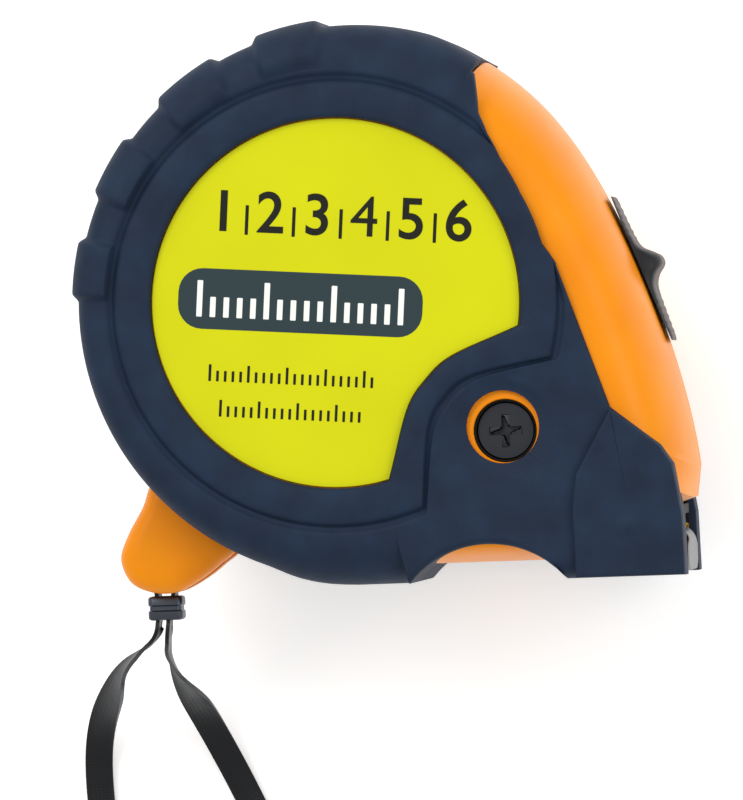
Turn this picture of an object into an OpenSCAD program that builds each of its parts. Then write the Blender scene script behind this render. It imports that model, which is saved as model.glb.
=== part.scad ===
// Pocket tape measure: a 25 mm blade on a sprung reel, in a two-part case with rubber side grips.
// It lies on its belt clip. +X points out of the mouth, +Y to the top of the case, and +Z is the
// reel's axis, out of the labelled side. The origin is the middle of the footprint, on the ground.

/* [Case] */
// Radius of the round part of the case over its rubber
case_r = 41.3; // [41:0.1:41.8]
// Half the width of the case over its rubber
half_w = 23; // [22.4:0.2:24]
// Thickness of the rubber grips
rubber_t = 2; // [1.8:0.1:2.2]
// Wall of the moulded shells
wall = 2; // [1.8:0.1:2.2]
// Furthest reach of the front of the case from the reel's axis
front_x = 52.1; // [52:0.1:53]
// Distance of the base below the reel's axis
base_d = 42; // [42:0.1:42.4]

/* [Label] */
// Radius of the label
label_r = 27.2; // [26.6:0.2:27.4]
// Thickness of the label
label_t = 0.6; // [0.4:0.1:0.8]

/* [Blade] */
// Width of the blade
blade_w = 25; // [24:0.5:25]
// Thickness of the blade over its coating
blade_t = 0.3; // [0.2:0.05:0.3]
// Depth of the blade's curved section
blade_cup = 2.2; // [1.8:0.1:2.4]
// Outer radius of the wound blade
coil_r = 28.5; // [26:0.5:28.5]
// Outer radius of the reel that it winds on
drum_r = 19; // [17:0.5:20]

/* [Lock] */
// Width of the lock button
button_w = 14; // [12:0.5:16]
// Travel of the lock button
lock_travel = 5.5; // [4:0.5:5.5]

/* [Clip] */
// Width of the belt clip
clip_w = 22; // [18:1:26]
// Height of the case face above the ground
clip_drop = 7.6; // [7.4:0.1:8.4]
// Thickness of the clip's steel
clip_t = 1.2; // [1:0.1:1.4]

/* [Strap] */
// Width of the wrist strap's ribbon
strap_w = 4.2; // [3.6:0.2:5]
// Thickness of the ribbon's plain solid
strap_t = 1.2; // [1:0.2:1.6]

/* [Hidden] */
$fn = 96;

// The round part of the case stands a little ahead of the reel's axis, and the orange front is flatter
body_c = [2.7, 0];
front_r = 41.8;
// Grip pads on the rim: where each starts and ends, as angles about the round part, and their height
pad_spans = [[95, 109], [118, 132.5], [142, 155.5], [165, 177]];
pad_h = 1.2;
// The reel's axis stands off the middle of the footprint
pad_r = case_r + pad_h;
reel_x = (pad_r * cos(180 - pad_spans[3][1]) - body_c[0] - front_x) / 2;
reel_y = (base_d + 0.6 - pad_r * sin(pad_spans[0][0])) / 2;
mid_z = clip_drop + half_w;

// The moulded case inside its rubber
core_r = case_r - rubber_t;
core_h = half_w - rubber_t;
core_base = base_d - 2.6;
core_nose_x = 48.6;
nose_x = core_nose_x + rubber_t;
shoulder = 8.2;
seam_gap = 0.2;
ring_r = 33;
big = 120;

// Front edge of the case: one cubic curve from the round part to the tip of the nose
front_a = 37;
curve_p0 = front_r * [cos(front_a), sin(front_a)];
curve_p1 = curve_p0 + 14 * [sin(front_a), -cos(front_a)];
curve_p2 = [front_x - 1.6, -10];
curve_p3 = [front_x, -26];
curve_steps = 10;
orange_a = 60;
// Rounded shoulder of the orange front: height from, height to, and how far the edge stands in
front_steps = [[0, 12, 0], [12, 15, 0.9], [15, 17.5, 2.2], [17.5, 19.4, 4], [19.4, 21, 6.4]];

// Blade run
blade_y = -36.8;
blade_r = (pow(blade_w / 2, 2) + pow(blade_cup, 2)) / (2 * blade_cup);
blade_x0 = 3;
lead_end = [18, -34];
blade_x1 = 49.4;
mouth_low = -38.2;
mouth_high = -33.2;
mouth_half = blade_w / 2 + 0.6;
bumper_t = 0.8;
hook_x = core_nose_x + bumper_t + 0.3;
hook_t = 1;
hook_half = 12.2;
hook_room = blade_w / 2 + 1.7;
flange_x = 42.5;
hook_play = 1;
rivet_r = 1.2;
rivet_spots = [[45.8, 4], [45.8, -4]];

// Lock button: it slides on a straight line along the front
lock_p = [44.2, 3.8];
lock_a = -69;
leg_half = 3;
leg_wide = 5;
foot = [[39.6, -29.5], [36, -29.5]];
pad_t = 1.2;

// Screws
boss_p = [24.5, -19.8];
boss_hole_r = 5.4;
case_spots = [[15.3, 28.2], [-31.6, 5.7], [-20.1, -25]];
case_post_r = 3.3;
case_head_h = 17.2;
post_r = 3;
clip_p = [0, 15];

// Lug and strap
lug_half = 8;
slot_half = strap_w / 2 + 0.7;
pin_p = [-29, -37.2];
pin_r = 1.3;
collar_l = 3.6;
strap_exit_y = -46.6;
// Route of the wrist strap, from one side of its collar round the loop to the other
strap_route = [
    [-30.3, -47.1, 30.6], [-30.8, -48.8, 30.4], [-33.2, -51.2, 26.4], [-36.8, -54.2, 19.6],
    [-39.6, -57.8, 12.4], [-41.9, -61.8, 6.2], [-43.2, -66.4, 2.4], [-43.5, -72, 1], [-43, -80, 1],
    [-42.4, -89, 1], [-42.4, -98, 1], [-43.2, -108, 1], [-43.4, -118, 1], [-41.8, -127.5, 1],
    [-37.4, -136, 1], [-29.6, -141.8, 1], [-20.4, -142.6, 1], [-12.2, -138, 1], [-7.6, -129.6, 1],
    [-6.6, -120, 1], [-8.2, -110, 1], [-11.2, -100, 1], [-14.4, -90, 1], [-17.8, -81, 1],
    [-21.4, -73, 1], [-24.2, -67, 2.4], [-26.4, -62, 6.2], [-28, -58, 12.4], [-28.9, -54.4, 19.6],
    [-29.2, -51.2, 26.4], [-28.9, -48.8, 30.4], [-28.7, -47.1, 30.6]];
// Turn of the ribbon about its own length at the first points: on edge at the collar, then flat
strap_turns = [90, 84, 70, 48, 24, 8, 0];

function polar(r, a) = [r * cos(a), r * sin(a)];
function curve(t) = pow(1 - t, 3) * curve_p0 + 3 * pow(1 - t, 2) * t * curve_p1
    + 3 * (1 - t) * t * t * curve_p2 + t * t * t * curve_p3;
function unit(v) = v / norm(v);
function curve_in(t) = let (d = unit(curve(min(1, t + 0.01)) - curve(max(0, t - 0.01)))) [d[1], -d[0]];
function lock_point(s, n) = lock_p + s * polar(1, lock_a) + n * polar(1, lock_a + 90);

// Front region of the moulded case, its curved edge standing in by an inset
function front_outline(inset, nose, base) = concat([[0, 0]],
    [for (a = [orange_a - inset / 3:-5:front_a + 1]) polar(front_r - inset, a)],
    [for (i = [0:curve_steps]) curve(i / curve_steps) + inset * curve_in(i / curve_steps)],
    [[front_x - 0.7 - inset, -30.7], [nose, -31.6], [nose, -base], [0, -base]]);

// Places what follows on the reel's axis at mid width, and turns it over for the left side
module on_side(left = false) {
    translate([reel_x, reel_y, mid_z])
        mirror([0, 0, left ? 1 : 0])
            children();
}

// Lays a profile drawn across the blade along X
module along_x(from, to) {
    translate([from, 0, 0])
        rotate([90, 0, 90])
            linear_extrude(to - from)
                children();
}

// Box in the lock button's own directions: along its travel, away from the case, across
module lock_box(s, n, half) {
    linear_extrude(2 * half, center = true)
        polygon([lock_point(s[0], n[0]), lock_point(s[1], n[0]), lock_point(s[1], n[1]), lock_point(s[0], n[1])]);
}

// Round slab with a rounded top edge
module round_slab(r, h, edge) {
    rotate_extrude() {
        square([r - edge, h]);
        square([r, h - edge]);
        translate([r - edge, h - edge])
            intersection() {
                circle(edge);
                square(edge);
            }
    }
}

// Outline of the strap lug
module lug_outline() {
    translate([-29.4, -36.8])
        circle(5.8);
    polygon([polar(core_r - 3.5, 219), [-35.2, -36.6], [-33, -41.4], [-26.5, -42.4], polar(core_r - 1, 243),
        [-14, -14]]);
}

// Bite that the screw's panel takes out of the label
module bite_outline(grow) {
    translate(boss_p)
        circle(14.6 - grow);
    polygon([boss_p, [8.6 + grow, -20], [7.8 + grow, -34], [boss_p[0], -34]]);
    polygon([boss_p, [boss_p[0], -5.3 - grow], [31, -4.2 - grow], [31, boss_p[1]]]);
}

module label_outline(shrink) {
    difference() {
        circle(label_r - shrink);
        bite_outline(-shrink);
    }
}

// Solid form of half the moulded case, before it is hollowed
module core_solid() {
    translate(body_c)
        round_slab(core_r, core_h, shoulder - rubber_t);
    for (s = front_steps)
        translate([0, 0, s[0]])
            linear_extrude(s[1] - s[0])
                polygon(front_outline(s[2], core_nose_x, core_base));
    linear_extrude(lug_half)
        lug_outline();
}

module core_hollow() {
    translate([0, 0, -1]) {
        translate(body_c)
            cylinder(h = core_h - wall + 1, r = core_r - wall);
        for (s = front_steps)
            translate([0, 0, s[0]])
                linear_extrude(s[1] - s[0] - (s[1] > core_h - 1 ? 2 * wall : 0) + 1)
                    polygon(front_outline(s[2] + wall, core_nose_x - wall, core_base - wall + 0.2));
    }
}

module screw_posts(r, h) {
    for (p = case_spots)
        translate(p)
            cylinder(h = h, r = r);
}

// What both halves of the moulded case share
module casing_half() {
    difference() {
        union() {
            difference() {
                core_solid();
                difference() {
                    core_hollow();
                    intersection() {
                        translate(body_c)
                            cylinder(h = core_h, r = core_r);
                        screw_posts(case_post_r, core_h);
                    }
                }
            }
            translate([0, 0, core_h - wall - 3.4])
                cylinder(h = 4, r = 6);
            translate(boss_p)
                cylinder(h = core_h - wall + 0.5, r = 2.5);
        }
        translate([0, 0, -1])
            cylinder(h = core_h - wall + 1, r = post_r);
        translate([core_nose_x - 3, mouth_low, -1])
            cube([6, mouth_high - mouth_low, mouth_half + 1]);
        lock_box([-3.5, 3.5 + lock_travel], [-5, 4], leg_half + 0.4);
        // slot for the strap round its pin, open to the back and below
        translate([-40, -46, -1])
            cube([16, 14, slot_half + 1]);
        translate(pin_p)
            cylinder(h = lug_half - 1.5, r = pin_r);
    }
}

// Right half: screws from the other half end in its posts
module casing_right() {
    color("darkorange")
        on_side()
            difference() {
                union() {
                    casing_half();
                    translate([boss_p[0], boss_p[1], core_h - 5.4])
                        cylinder(h = 5.4, r = boss_hole_r + 1.4);
                }
                translate([0, 0, -1])
                    screw_posts(1.25, 12);
                translate([boss_p[0], boss_p[1], core_h - 3.6])
                    cylinder(h = 5, r = boss_hole_r);
                translate([boss_p[0], boss_p[1], -1])
                    cylinder(h = core_h, r = 1.65);
            }
}

// Left half: it takes the screw heads and the belt clip
module casing_left() {
    color("orange")
        on_side(true)
            difference() {
                union() {
                    casing_half();
                    translate([clip_p[0], clip_p[1], core_h - wall - 3])
                        cylinder(h = 4, r = 4);
                }
                translate([0, 0, -1])
                    screw_posts(1.25, big);
                translate([0, 0, case_head_h])
                    screw_posts(2.5, big);
                translate([boss_p[0], boss_p[1], -1])
                    cylinder(h = 13, r = 1.65);
                translate([0, 0, core_h - wall - 1])
                    cylinder(h = big, r = 1.65);
                translate([0, 0, core_h - 1.6])
                    cylinder(h = big, r = 3.1);
                translate([clip_p[0], clip_p[1], core_h - wall - 2])
                    cylinder(h = big, r = 1.65);
            }
}

// Outline of the rubber's flat part, from the ring down to the base and the nose
module plate_outline() {
    polygon([[0, 0], [25, 20], polar(ring_r, 8), [40.2, -16.8], [47.4, -22.6], [49.2, -25.4], [50.4, -33],
        [nose_x, -base_d], [8, -base_d], [8, -30]]);
}

// Raised facet of the rubber at the nose
module nose_outline() {
    polygon([[40.3, -17.2], [38.3, -20.6], [34.9, -26.6], [34.2, -31.8], [34.4, -base_d], [nose_x, -base_d],
        [50.4, -33], [49.2, -25.4], [47.4, -22.6]]);
}

// Where the orange front shows: outside the ring, from its upper end down to the nose
module front_window() {
    difference() {
        polygon([polar(30, 40), polar(33.9, 46), polar(35.4, 51), polar(37.6, 54), polar(60, 58.5), [80, 40],
            [80, -22.6], [47.4, -22.6], [40.2, -16.8], polar(ring_r, 8)]);
        circle(ring_r);
    }
}

module grip_half() {
    difference() {
        union() {
            translate(body_c)
                round_slab(case_r, half_w - 0.6, shoulder);
            cylinder(h = half_w, r = ring_r);
            linear_extrude(half_w - 0.6)
                plate_outline();
            linear_extrude(half_w)
                nose_outline();
            translate(body_c)
                for (a = pad_spans)
                    rotate([0, 0, a[0]])
                        rotate_extrude(angle = a[1] - a[0])
                            polygon([[case_r - 1, 0], [pad_r, 0], [pad_r, half_w - 9],
                                [pad_r - 1.4, half_w - 5.6], [case_r - 3.4, half_w - 3.4],
                                [case_r - 5, half_w - 5]]);
        }
        core_solid();
        linear_extrude(2 * seam_gap, center = true)
            square(2 * big, center = true);
        translate([0, 0, -1])
            linear_extrude(big)
                front_window();
        // arch in the base, window for the label, and the screw's hole
        translate([21.3, -51.6, -1])
            cylinder(h = big, r = 15.1);
        translate([0, 0, core_h - 1])
            linear_extrude(big)
                label_outline(-0.6);
        translate([boss_p[0], boss_p[1], core_h - 1])
            cylinder(h = big, r = boss_hole_r);
        // room for the hook between the cheeks of the nose
        translate([core_nose_x, -base_d - 1, -1])
            cube([10, base_d - 29.9, hook_room + 1]);
        translate([0, 0, -1])
            linear_extrude(lug_half + 1.3)
                lug_outline();
    }
}

module grip_right() {
    color([0.15, 0.2, 0.28])
        on_side()
            grip_half();
}

// The left grip is open over the screws of the case
module grip_left() {
    color([0.13, 0.18, 0.26])
        on_side(true)
            difference() {
                grip_half();
                translate([0, 0, 10])
                    screw_posts(2.6, big);
            }
}

module label_right() {
    color([0.87, 0.88, 0])
        on_side()
            translate([0, 0, core_h])
                linear_extrude(label_t)
                    label_outline(0);
}

// The left label has a window for the clip's plate
module label_left() {
    color([0.85, 0.86, 0.05])
        on_side(true)
            translate([0, 0, core_h])
                linear_extrude(label_t)
                    difference() {
                        label_outline(0);
                        translate([-clip_w / 2 - 0.5, 7])
                            square([clip_w + 1, 30]);
                    }
}

module centre_post() {
    color("silver")
        on_side()
            difference() {
                translate([0, 0, wall - core_h])
                    cylinder(h = 2 * (core_h - wall), r = post_r - 0.02);
                translate([0, 0, -core_h])
                    cylinder(h = 12, r = 1.5);
                translate([-0.5, -post_r, -9])
                    cube([1, post_r + 1, 18]);
            }
}

// Reel with its lower flange: the spring sits inside, the blade winds round the outside
module reel_drum() {
    half = blade_w / 2 + 0.7;
    color("whitesmoke")
        on_side() {
            difference() {
                translate([0, 0, -half])
                    cylinder(h = 2 * half, r = drum_r);
                translate([0, 0, 1.2 - half])
                    cylinder(h = 2 * half, r = drum_r - 1.5);
                translate([0, 0, -half - 1])
                    cylinder(h = 4, r = post_r + 0.05);
            }
            translate([0, 0, -half - 1])
                difference() {
                    cylinder(h = 1, r = coil_r - 1.5);
                    translate([0, 0, -1])
                        cylinder(h = 4, r = post_r + 0.05);
                }
        }
}

module reel_cover() {
    half = blade_w / 2 + 0.7;
    color("gainsboro")
        on_side()
            translate([0, 0, half])
                difference() {
                    union() {
                        cylinder(h = 1, r = coil_r - 1.5);
                        translate([0, 0, -1])
                            cylinder(h = 1, r = drum_r - 1.6);
                    }
                    translate([0, 0, -2])
                        cylinder(h = 4, r = post_r + 0.05);
                    for (a = [0:60:300])
                        rotate([0, 0, a])
                            translate([11, 0, -2])
                                cylinder(h = 4, r = 2.6);
                }
}

// Flat spiral spring from the post to the wall of the reel
module power_spring() {
    turns = 6;
    steps = 20 * turns;
    inner = post_r + 0.6;
    pitch = (drum_r - 1.7 - inner) / turns;
    thick = 0.5;
    color("slategray")
        on_side()
            linear_extrude(20, center = true)
                polygon(concat(
                    [for (i = [0:steps]) polar(inner + pitch * i / 20, 18 * i)],
                    [for (i = [steps:-1:0]) polar(inner - thick + pitch * i / 20, 18 * i)]));
}

// The wound blade
module blade_coil() {
    color("gold")
        on_side()
            rotate_extrude()
                translate([drum_r + 0.05, -blade_w / 2])
                    square([coil_r - drum_r - 0.05, blade_w]);
}

// Bend that the blade passes through on its way from the coil to the base
module blade_lead() {
    from = [-3, -coil_r - 0.3];
    to = lead_end;
    steps = 12;
    function at(i) = [from[0] + (to[0] - from[0]) * i / steps,
        from[1] + (to[1] - from[1]) * (1 - cos(180 * i / steps)) / 2];
    color("gold")
        on_side()
            linear_extrude(blade_w - 1, center = true)
                polygon(concat([for (i = [0:steps]) at(i)], [for (i = [steps:-1:0]) at(i) - [0, blade_t]]));
}

// Curved section of a strip at the blade's place: radii from its centre of curvature, half width
module blade_section(low, high, half) {
    intersection() {
        translate([blade_y + blade_r, 0])
            difference() {
                circle(blade_r - low, $fn = 180);
                circle(blade_r - high, $fn = 180);
            }
        translate([blade_y - 2, -half])
            square([blade_cup + 4, 2 * half]);
    }
}

// Straight end of the blade, from the bend to the mouth
module blade_tongue() {
    color("gold")
        on_side()
            difference() {
                along_x(blade_x0, blade_x1)
                    blade_section(-blade_t / 2, blade_t / 2, blade_w / 2);
                for (p = rivet_spots)
                    translate([p[0], 0, p[1]])
                        rotate([90, 0, 0])
                            cylinder(h = big, r = rivet_r + 0.03, center = true);
            }
}

// Hook: a curved plate on the blade and a lip in front of the mouth, loose by its own thickness
module end_hook() {
    low = blade_t / 2 + 0.1;
    color("silver")
        on_side()
            difference() {
                union() {
                    along_x(flange_x, hook_x + 0.5)
                        blade_section(low, low + 0.9, 7.5);
                    translate([hook_x, -base_d + 0.4, -hook_half])
                        cube([hook_t, base_d - 34.2, 2 * hook_half]);
                }
                for (p = rivet_spots)
                    translate([p[0], blade_y, p[1]])
                        rotate([90, 0, 0])
                            linear_extrude(8, center = true) {
                                circle(rivet_r + 0.08);
                                translate([-hook_play, -rivet_r - 0.08])
                                    square([hook_play, 2 * rivet_r + 0.16]);
                                translate([-hook_play, 0])
                                    circle(rivet_r + 0.08);
                            }
            }
}

module hook_rivets() {
    color("gainsboro")
        on_side()
            for (p = rivet_spots) {
                rise = blade_r - sqrt(pow(blade_r, 2) - pow(p[1], 2));
                translate([p[0], blade_y + rise, p[1]])
                    rotate([-90, 0, 0]) {
                        translate([0, 0, -0.75])
                            cylinder(h = 2.8, r = rivet_r);
                        translate([0, 0, 1.7])
                            cylinder(h = 0.6, r = 1.9);
                        translate([0, 0, -0.95])
                            cylinder(h = 0.5, r = 1.9);
                    }
            }
}

// Rubber frame round the mouth, which takes the hook's knock
module mouth_bumper() {
    color("black")
        on_side()
            translate([core_nose_x, 0, 0])
                rotate([90, 0, 90])
                    linear_extrude(bumper_t)
                        difference() {
                            translate([-39.2, 0.3 - hook_room])
                                square([7.4, 2 * hook_room - 0.6]);
                            translate([mouth_low, -mouth_half])
                                square([mouth_high - mouth_low, 2 * mouth_half]);
                        }
}

// Thumb plate with a raised catch
module lock_button() {
    ridge = [[-11.4, 0.3], [-11, 0.8], [-4.4, 1.2], [-1.6, 2.9], [-0.4, 4.1], [1.4, 4.1], [2.8, 2.6], [4.6, 1.4],
        [11.6, 1.1], [12, 0.3]];
    color([0.08, 0.08, 0.09])
        on_side()
            linear_extrude(button_w, center = true)
                polygon([for (p = ridge) lock_point(p[0], p[1])]);
}

// Stem through the slot and leg down to the blade
module lock_leg() {
    down = [lock_point(-3, -4.6), lock_point(3, -4.6), lock_point(18, -6.5), [42.6, -22]];
    back = [[38.8, -22], lock_point(17, -10), lock_point(-3, -7.6)];
    color("dimgray")
        on_side() {
            lock_box([-3, 3], [-4.6, 0.3], leg_half);
            linear_extrude(2 * leg_wide, center = true)
                polygon(concat(down, foot, back));
        }
}

module brake_pad() {
    color("darkred")
        on_side()
            translate([foot[1][0], foot[1][1] - pad_t, 0.5 - leg_wide])
                cube([foot[0][0] - foot[1][0], pad_t, 2 * leg_wide - 1]);
}

// Countersunk cross drive in the top of a screw head
module cross_drive(arm, depth) {
    translate([0, 0, -depth]) {
        translate([-arm, -arm / 4, 0])
            cube([2 * arm, arm / 2, depth + 1]);
        translate([-arm / 4, -arm, 0])
            cube([arm / 2, 2 * arm, depth + 1]);
    }
}

// Screw with its head's top at the origin, pointing down
module screw(head_r, head_h, shank_r, length) {
    difference() {
        union() {
            translate([0, 0, -head_h])
                cylinder(h = head_h, r = head_r);
            translate([0, 0, -length])
                cylinder(h = length, r = shank_r);
        }
        cross_drive(head_r * 0.6, head_h * 0.6);
    }
}

module boss_screw() {
    color("dimgray")
        on_side()
            translate([boss_p[0], boss_p[1], core_h - 1.4])
                screw(4.1, 2.2, 1.6, 29);
}

module case_screws() {
    color("dimgray")
        on_side(true)
            for (p = case_spots)
                translate([p[0], p[1], case_head_h + 1.3])
                    screw(2.4, 1.2, 1.2, 26);
}

module post_screw() {
    color("dimgray")
        on_side(true)
            translate([0, 0, core_h - 0.2])
                screw(3, 1.4, 1.45, 10);
}

// Sprung steel clip: a plate on the case, a bend at the top and a long leaf that the case lies on
module belt_clip() {
    top = clip_drop + rubber_t;
    bend = top / 2;
    color("lightsteelblue")
        translate([reel_x, reel_y, 0])
            difference() {
                union() {
                    translate([-clip_w / 2, 7.4, top - clip_t])
                        cube([clip_w, 14, clip_t]);
                    translate([-clip_w / 2, -27, 0])
                        cube([clip_w, 48.4, clip_t]);
                    translate([0, 21.4, bend])
                        rotate([90, 0, 90])
                            linear_extrude(clip_w, center = true)
                                difference() {
                                    circle(bend);
                                    circle(bend - clip_t);
                                    translate([-big, -big / 2])
                                        square(big);
                                }
                    translate([0, -20, clip_t])
                        rotate([0, 90, 0])
                            linear_extrude(clip_w - 4, center = true)
                                intersection() {
                                    circle(1.4);
                                    translate([-3, -3])
                                        square([3, 6]);
                                }
                }
                translate([clip_p[0], clip_p[1], -1])
                    cylinder(h = 6, r = 3.6);
                translate([clip_p[0], clip_p[1], 1])
                    cylinder(h = big, r = 1.65);
                for (side = [-1, 1])
                    translate([side * (clip_w / 2 + 6), -27, -1])
                        rotate([0, 0, side * 24])
                            translate([-5, -14, 0])
                                cube([10, 20, 4]);
            }
}

module clip_screw() {
    color("dimgray")
        on_side(true)
            translate([clip_p[0], clip_p[1], core_h + clip_t + 1])
                screw(3.2, 1, 1.6, 5.6);
}

module strap_pin() {
    color("silver")
        on_side()
            translate(pin_p)
                cylinder(h = 2 * (lug_half - 1.6), r = pin_r - 0.02, center = true);
}

// Stitched end of the ribbon, folded round its pin
module strap_fold() {
    color([0.06, 0.06, 0.07])
        on_side()
            linear_extrude(strap_w, center = true)
                difference() {
                    union() {
                        translate(pin_p)
                            circle(pin_r + 0.9);
                        translate([pin_p[0] - pin_r - 0.9, strap_exit_y + collar_l])
                            square([2 * (pin_r + 0.9), pin_p[1] - strap_exit_y - collar_l]);
                    }
                    translate(pin_p)
                        circle(pin_r + 0.05);
                    translate([pin_p[0] - pin_r + 0.4, strap_exit_y + collar_l - 1])
                        square([2 * pin_r - 0.8, pin_p[1] - strap_exit_y - collar_l + 1]);
                }
}

// Crimped collar that holds the two strands together below the lug
module strap_collar() {
    color([0.25, 0.26, 0.28])
        on_side()
            translate([pin_p[0], strap_exit_y, 0])
                rotate([-90, 0, 0])
                    linear_extrude(collar_l)
                        square([5.4, strap_w + 1], center = true);
}

// Flat tube along the strap's route
function route_ease(i) = let (n = len(strap_route) - 1, j = min(i, n - i), m = len(strap_turns) - 1)
    (j < m ? strap_turns[j] : 0) * (i > n / 2 ? -1 : 1);
function tangent(i) = let (n = len(strap_route) - 1)
    unit(strap_route[min(n, i + 1)] - strap_route[max(0, i - 1)]);
function ring_points(i) = let (t = tangent(i), side = unit(cross([0, 0, 1], t)), up = cross(t, side),
    a = route_ease(i), across = side * cos(a) + up * sin(a), over = up * cos(a) - side * sin(a))
    [for (k = [0:7]) strap_route[i] + across * strap_w / 2 * cos(45 * k) + over * strap_t / 2 * sin(45 * k)];

module wrist_strap() {
    rings = len(strap_route);
    color([0.05, 0.05, 0.06])
        translate([reel_x, reel_y, 0])
            polyhedron(
                points = [for (i = [0:rings - 1]) each ring_points(i)],
                faces = concat(
                    [[for (k = [0:7]) k]],
                    [for (i = [0:rings - 2], k = [0:7])
                        [8 * i + k, 8 * (i + 1) + k, 8 * (i + 1) + (k + 1) % 8]],
                    [for (i = [0:rings - 2], k = [0:7])
                        [8 * i + k, 8 * (i + 1) + (k + 1) % 8, 8 * i + (k + 1) % 8]],
                    [[for (k = [7:-1:0]) 8 * (rings - 1) + k]]));
}

casing_right();
casing_left();
grip_right();
grip_left();
label_right();
label_left();
centre_post();
reel_drum();
reel_cover();
power_spring();
blade_coil();
blade_lead();
blade_tongue();
end_hook();
hook_rivets();
mouth_bumper();
lock_button();
lock_leg();
brake_pad();
boss_screw();
case_screws();
post_screw();
belt_clip();
clip_screw();
strap_pin();
strap_fold();
strap_collar();
wrist_strap();
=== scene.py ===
"""Looks of a pocket tape measure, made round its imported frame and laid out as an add-on.

Lengths in the functions are in millimetres from the reel's axis at mid width: x towards the mouth, y to the
top of the case, h out of the labelled side. place() turns them into the frame's metres.
"""
import math

import bpy
import numpy as np
from mathutils import Matrix, Vector


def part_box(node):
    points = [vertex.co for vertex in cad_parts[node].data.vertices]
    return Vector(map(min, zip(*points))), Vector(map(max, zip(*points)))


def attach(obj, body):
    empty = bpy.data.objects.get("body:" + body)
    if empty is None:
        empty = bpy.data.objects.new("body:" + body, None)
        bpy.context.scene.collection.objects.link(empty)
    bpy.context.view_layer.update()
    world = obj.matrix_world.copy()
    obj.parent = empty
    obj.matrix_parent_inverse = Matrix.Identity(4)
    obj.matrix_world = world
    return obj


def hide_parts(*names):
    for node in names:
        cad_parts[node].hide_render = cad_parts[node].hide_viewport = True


bl_info = {
    "name": "Pocket tape measure",
    "version": (1, 0, 0),
    "blender": (4, 5, 0),
    "location": "View3D > Sidebar > Tape",
    "description": "Rebuilds the visible pieces of a pocket tape measure round its frame",
    "category": "Object",
}

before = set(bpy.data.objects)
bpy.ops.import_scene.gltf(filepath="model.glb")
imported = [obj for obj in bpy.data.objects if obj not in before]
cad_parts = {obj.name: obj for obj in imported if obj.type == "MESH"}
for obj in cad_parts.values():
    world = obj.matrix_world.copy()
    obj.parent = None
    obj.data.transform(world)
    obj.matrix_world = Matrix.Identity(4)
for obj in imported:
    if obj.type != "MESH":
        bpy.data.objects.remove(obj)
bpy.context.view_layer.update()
MM = 0.001
COIL = [np.array(c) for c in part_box("blade_coil")]
REEL = (COIL[0] + COIL[1]) / 2
TAU = 2 * math.pi

# Outline of the case, in mm and degrees about the reel
CASE_R = 41.3
CORE_R = 39.3
BODY_X = 2.7
CORE_H = 21.0
SHELL_TOP = 21.2
WALL = 2.0
PLATE = 22.4
BASE_Y = -42.0
CORE_BASE_Y = -39.4
FRONT_A = 37.0
FRONT_START = 41.6
ORANGE_A = 57.6
FRONT_TIP = (52.1, -26.0)
NOSE_X = 50.6
CORE_NOSE_X = 48.6
FRONT_DEPTH = 11.0
FRONT_POWER = 2.6
ARCH = ((21.3, -51.6), 15.1)
ARCH_ENDS = (-77.2, -51.9)
BOSS = np.array([24.5, -19.8])
BOSS_HOLE = BOSS + [-0.3, 0.6]
BOSS_HOLE_R = 5.4
CASE_SCREWS = ((15.3, 28.2), (-31.6, 5.7), (-20.1, -25.0))
BLADE_TIP = 49.7
PADS = ((92, 106), (115, 130), (140, 154), (164, 177))


# ------------------------------------------------------------------ meshes

def place(points, side=1.0):
    """Design points (..., 3) in mm to metres in the frame; side -1 mirrors them to the left of mid width."""
    p = np.asarray(points, float) * [1.0, 1.0, side]
    return p * MM + REEL


def build(name, points, faces, smooth=True):
    """A mesh object at the origin from metres and index rows; its material comes later."""
    mesh = bpy.data.meshes.new(name)
    mesh.from_pydata([tuple(p) for p in np.asarray(points).tolist()], [], faces)
    mesh.validate()
    mesh.update()
    if smooth:
        mesh.polygons.foreach_set("use_smooth", np.ones(len(mesh.polygons), bool))
    piece = bpy.data.objects.new(name, mesh)
    bpy.context.scene.collection.objects.link(piece)
    return piece


def grid_faces(rows, cols, wrap_rows=False):
    """Quads of a rows x cols grid of points stored row by row: columns wrap round, rows where wanted."""
    i = np.arange(rows if wrap_rows else rows - 1)[:, None]
    j = np.arange(cols)[None, :]
    a = i * cols + j
    b = i * cols + (j + 1) % cols
    c = ((i + 1) % rows) * cols + (j + 1) % cols
    d = ((i + 1) % rows) * cols + j
    return np.stack([a, b, c, d], -1).reshape(-1, 4).tolist()


def fan(first, count, centre, flip=False):
    """Triangles that close a ring of points round a centre point."""
    i = np.arange(count)
    tri = np.stack([first + i, first + (i + 1) % count, np.full(count, centre)], -1)
    return (tri[:, ::-1] if flip else tri).tolist()


def capped_faces(rings, count):
    """Faces of a tube of rings of count points each; its ends close on two centre points, stored last."""
    first, last = rings * count, (rings - 1) * count
    return grid_faces(rings, count) + fan(0, count, first, flip=True) + fan(last, count, first + 1)


def unit(vectors):
    """Vectors, one a row, scaled to length one."""
    return vectors / np.linalg.norm(vectors, axis=1)[:, None]


def run_along(line):
    """Distance run along a line at each of its points."""
    return np.concatenate([[0], np.cumsum(np.linalg.norm(np.diff(line, axis=0), axis=1))])


def outwards(piece):
    """Turns a closed mesh the right way out if its volume came out negative."""
    mesh = piece.data
    mesh.calc_loop_triangles()
    co = np.empty(len(mesh.vertices) * 3)
    mesh.vertices.foreach_get("co", co)
    tri = np.empty(len(mesh.loop_triangles) * 3, np.int32)
    mesh.loop_triangles.foreach_get("vertices", tri)
    p = (co.reshape(-1, 3) - co.reshape(-1, 3).mean(0))[tri.reshape(-1, 3)]
    if np.einsum("ij,ij->i", p[:, 0], np.cross(p[:, 1], p[:, 2])).sum() < 0:
        mesh.flip_normals()
    return piece


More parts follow.
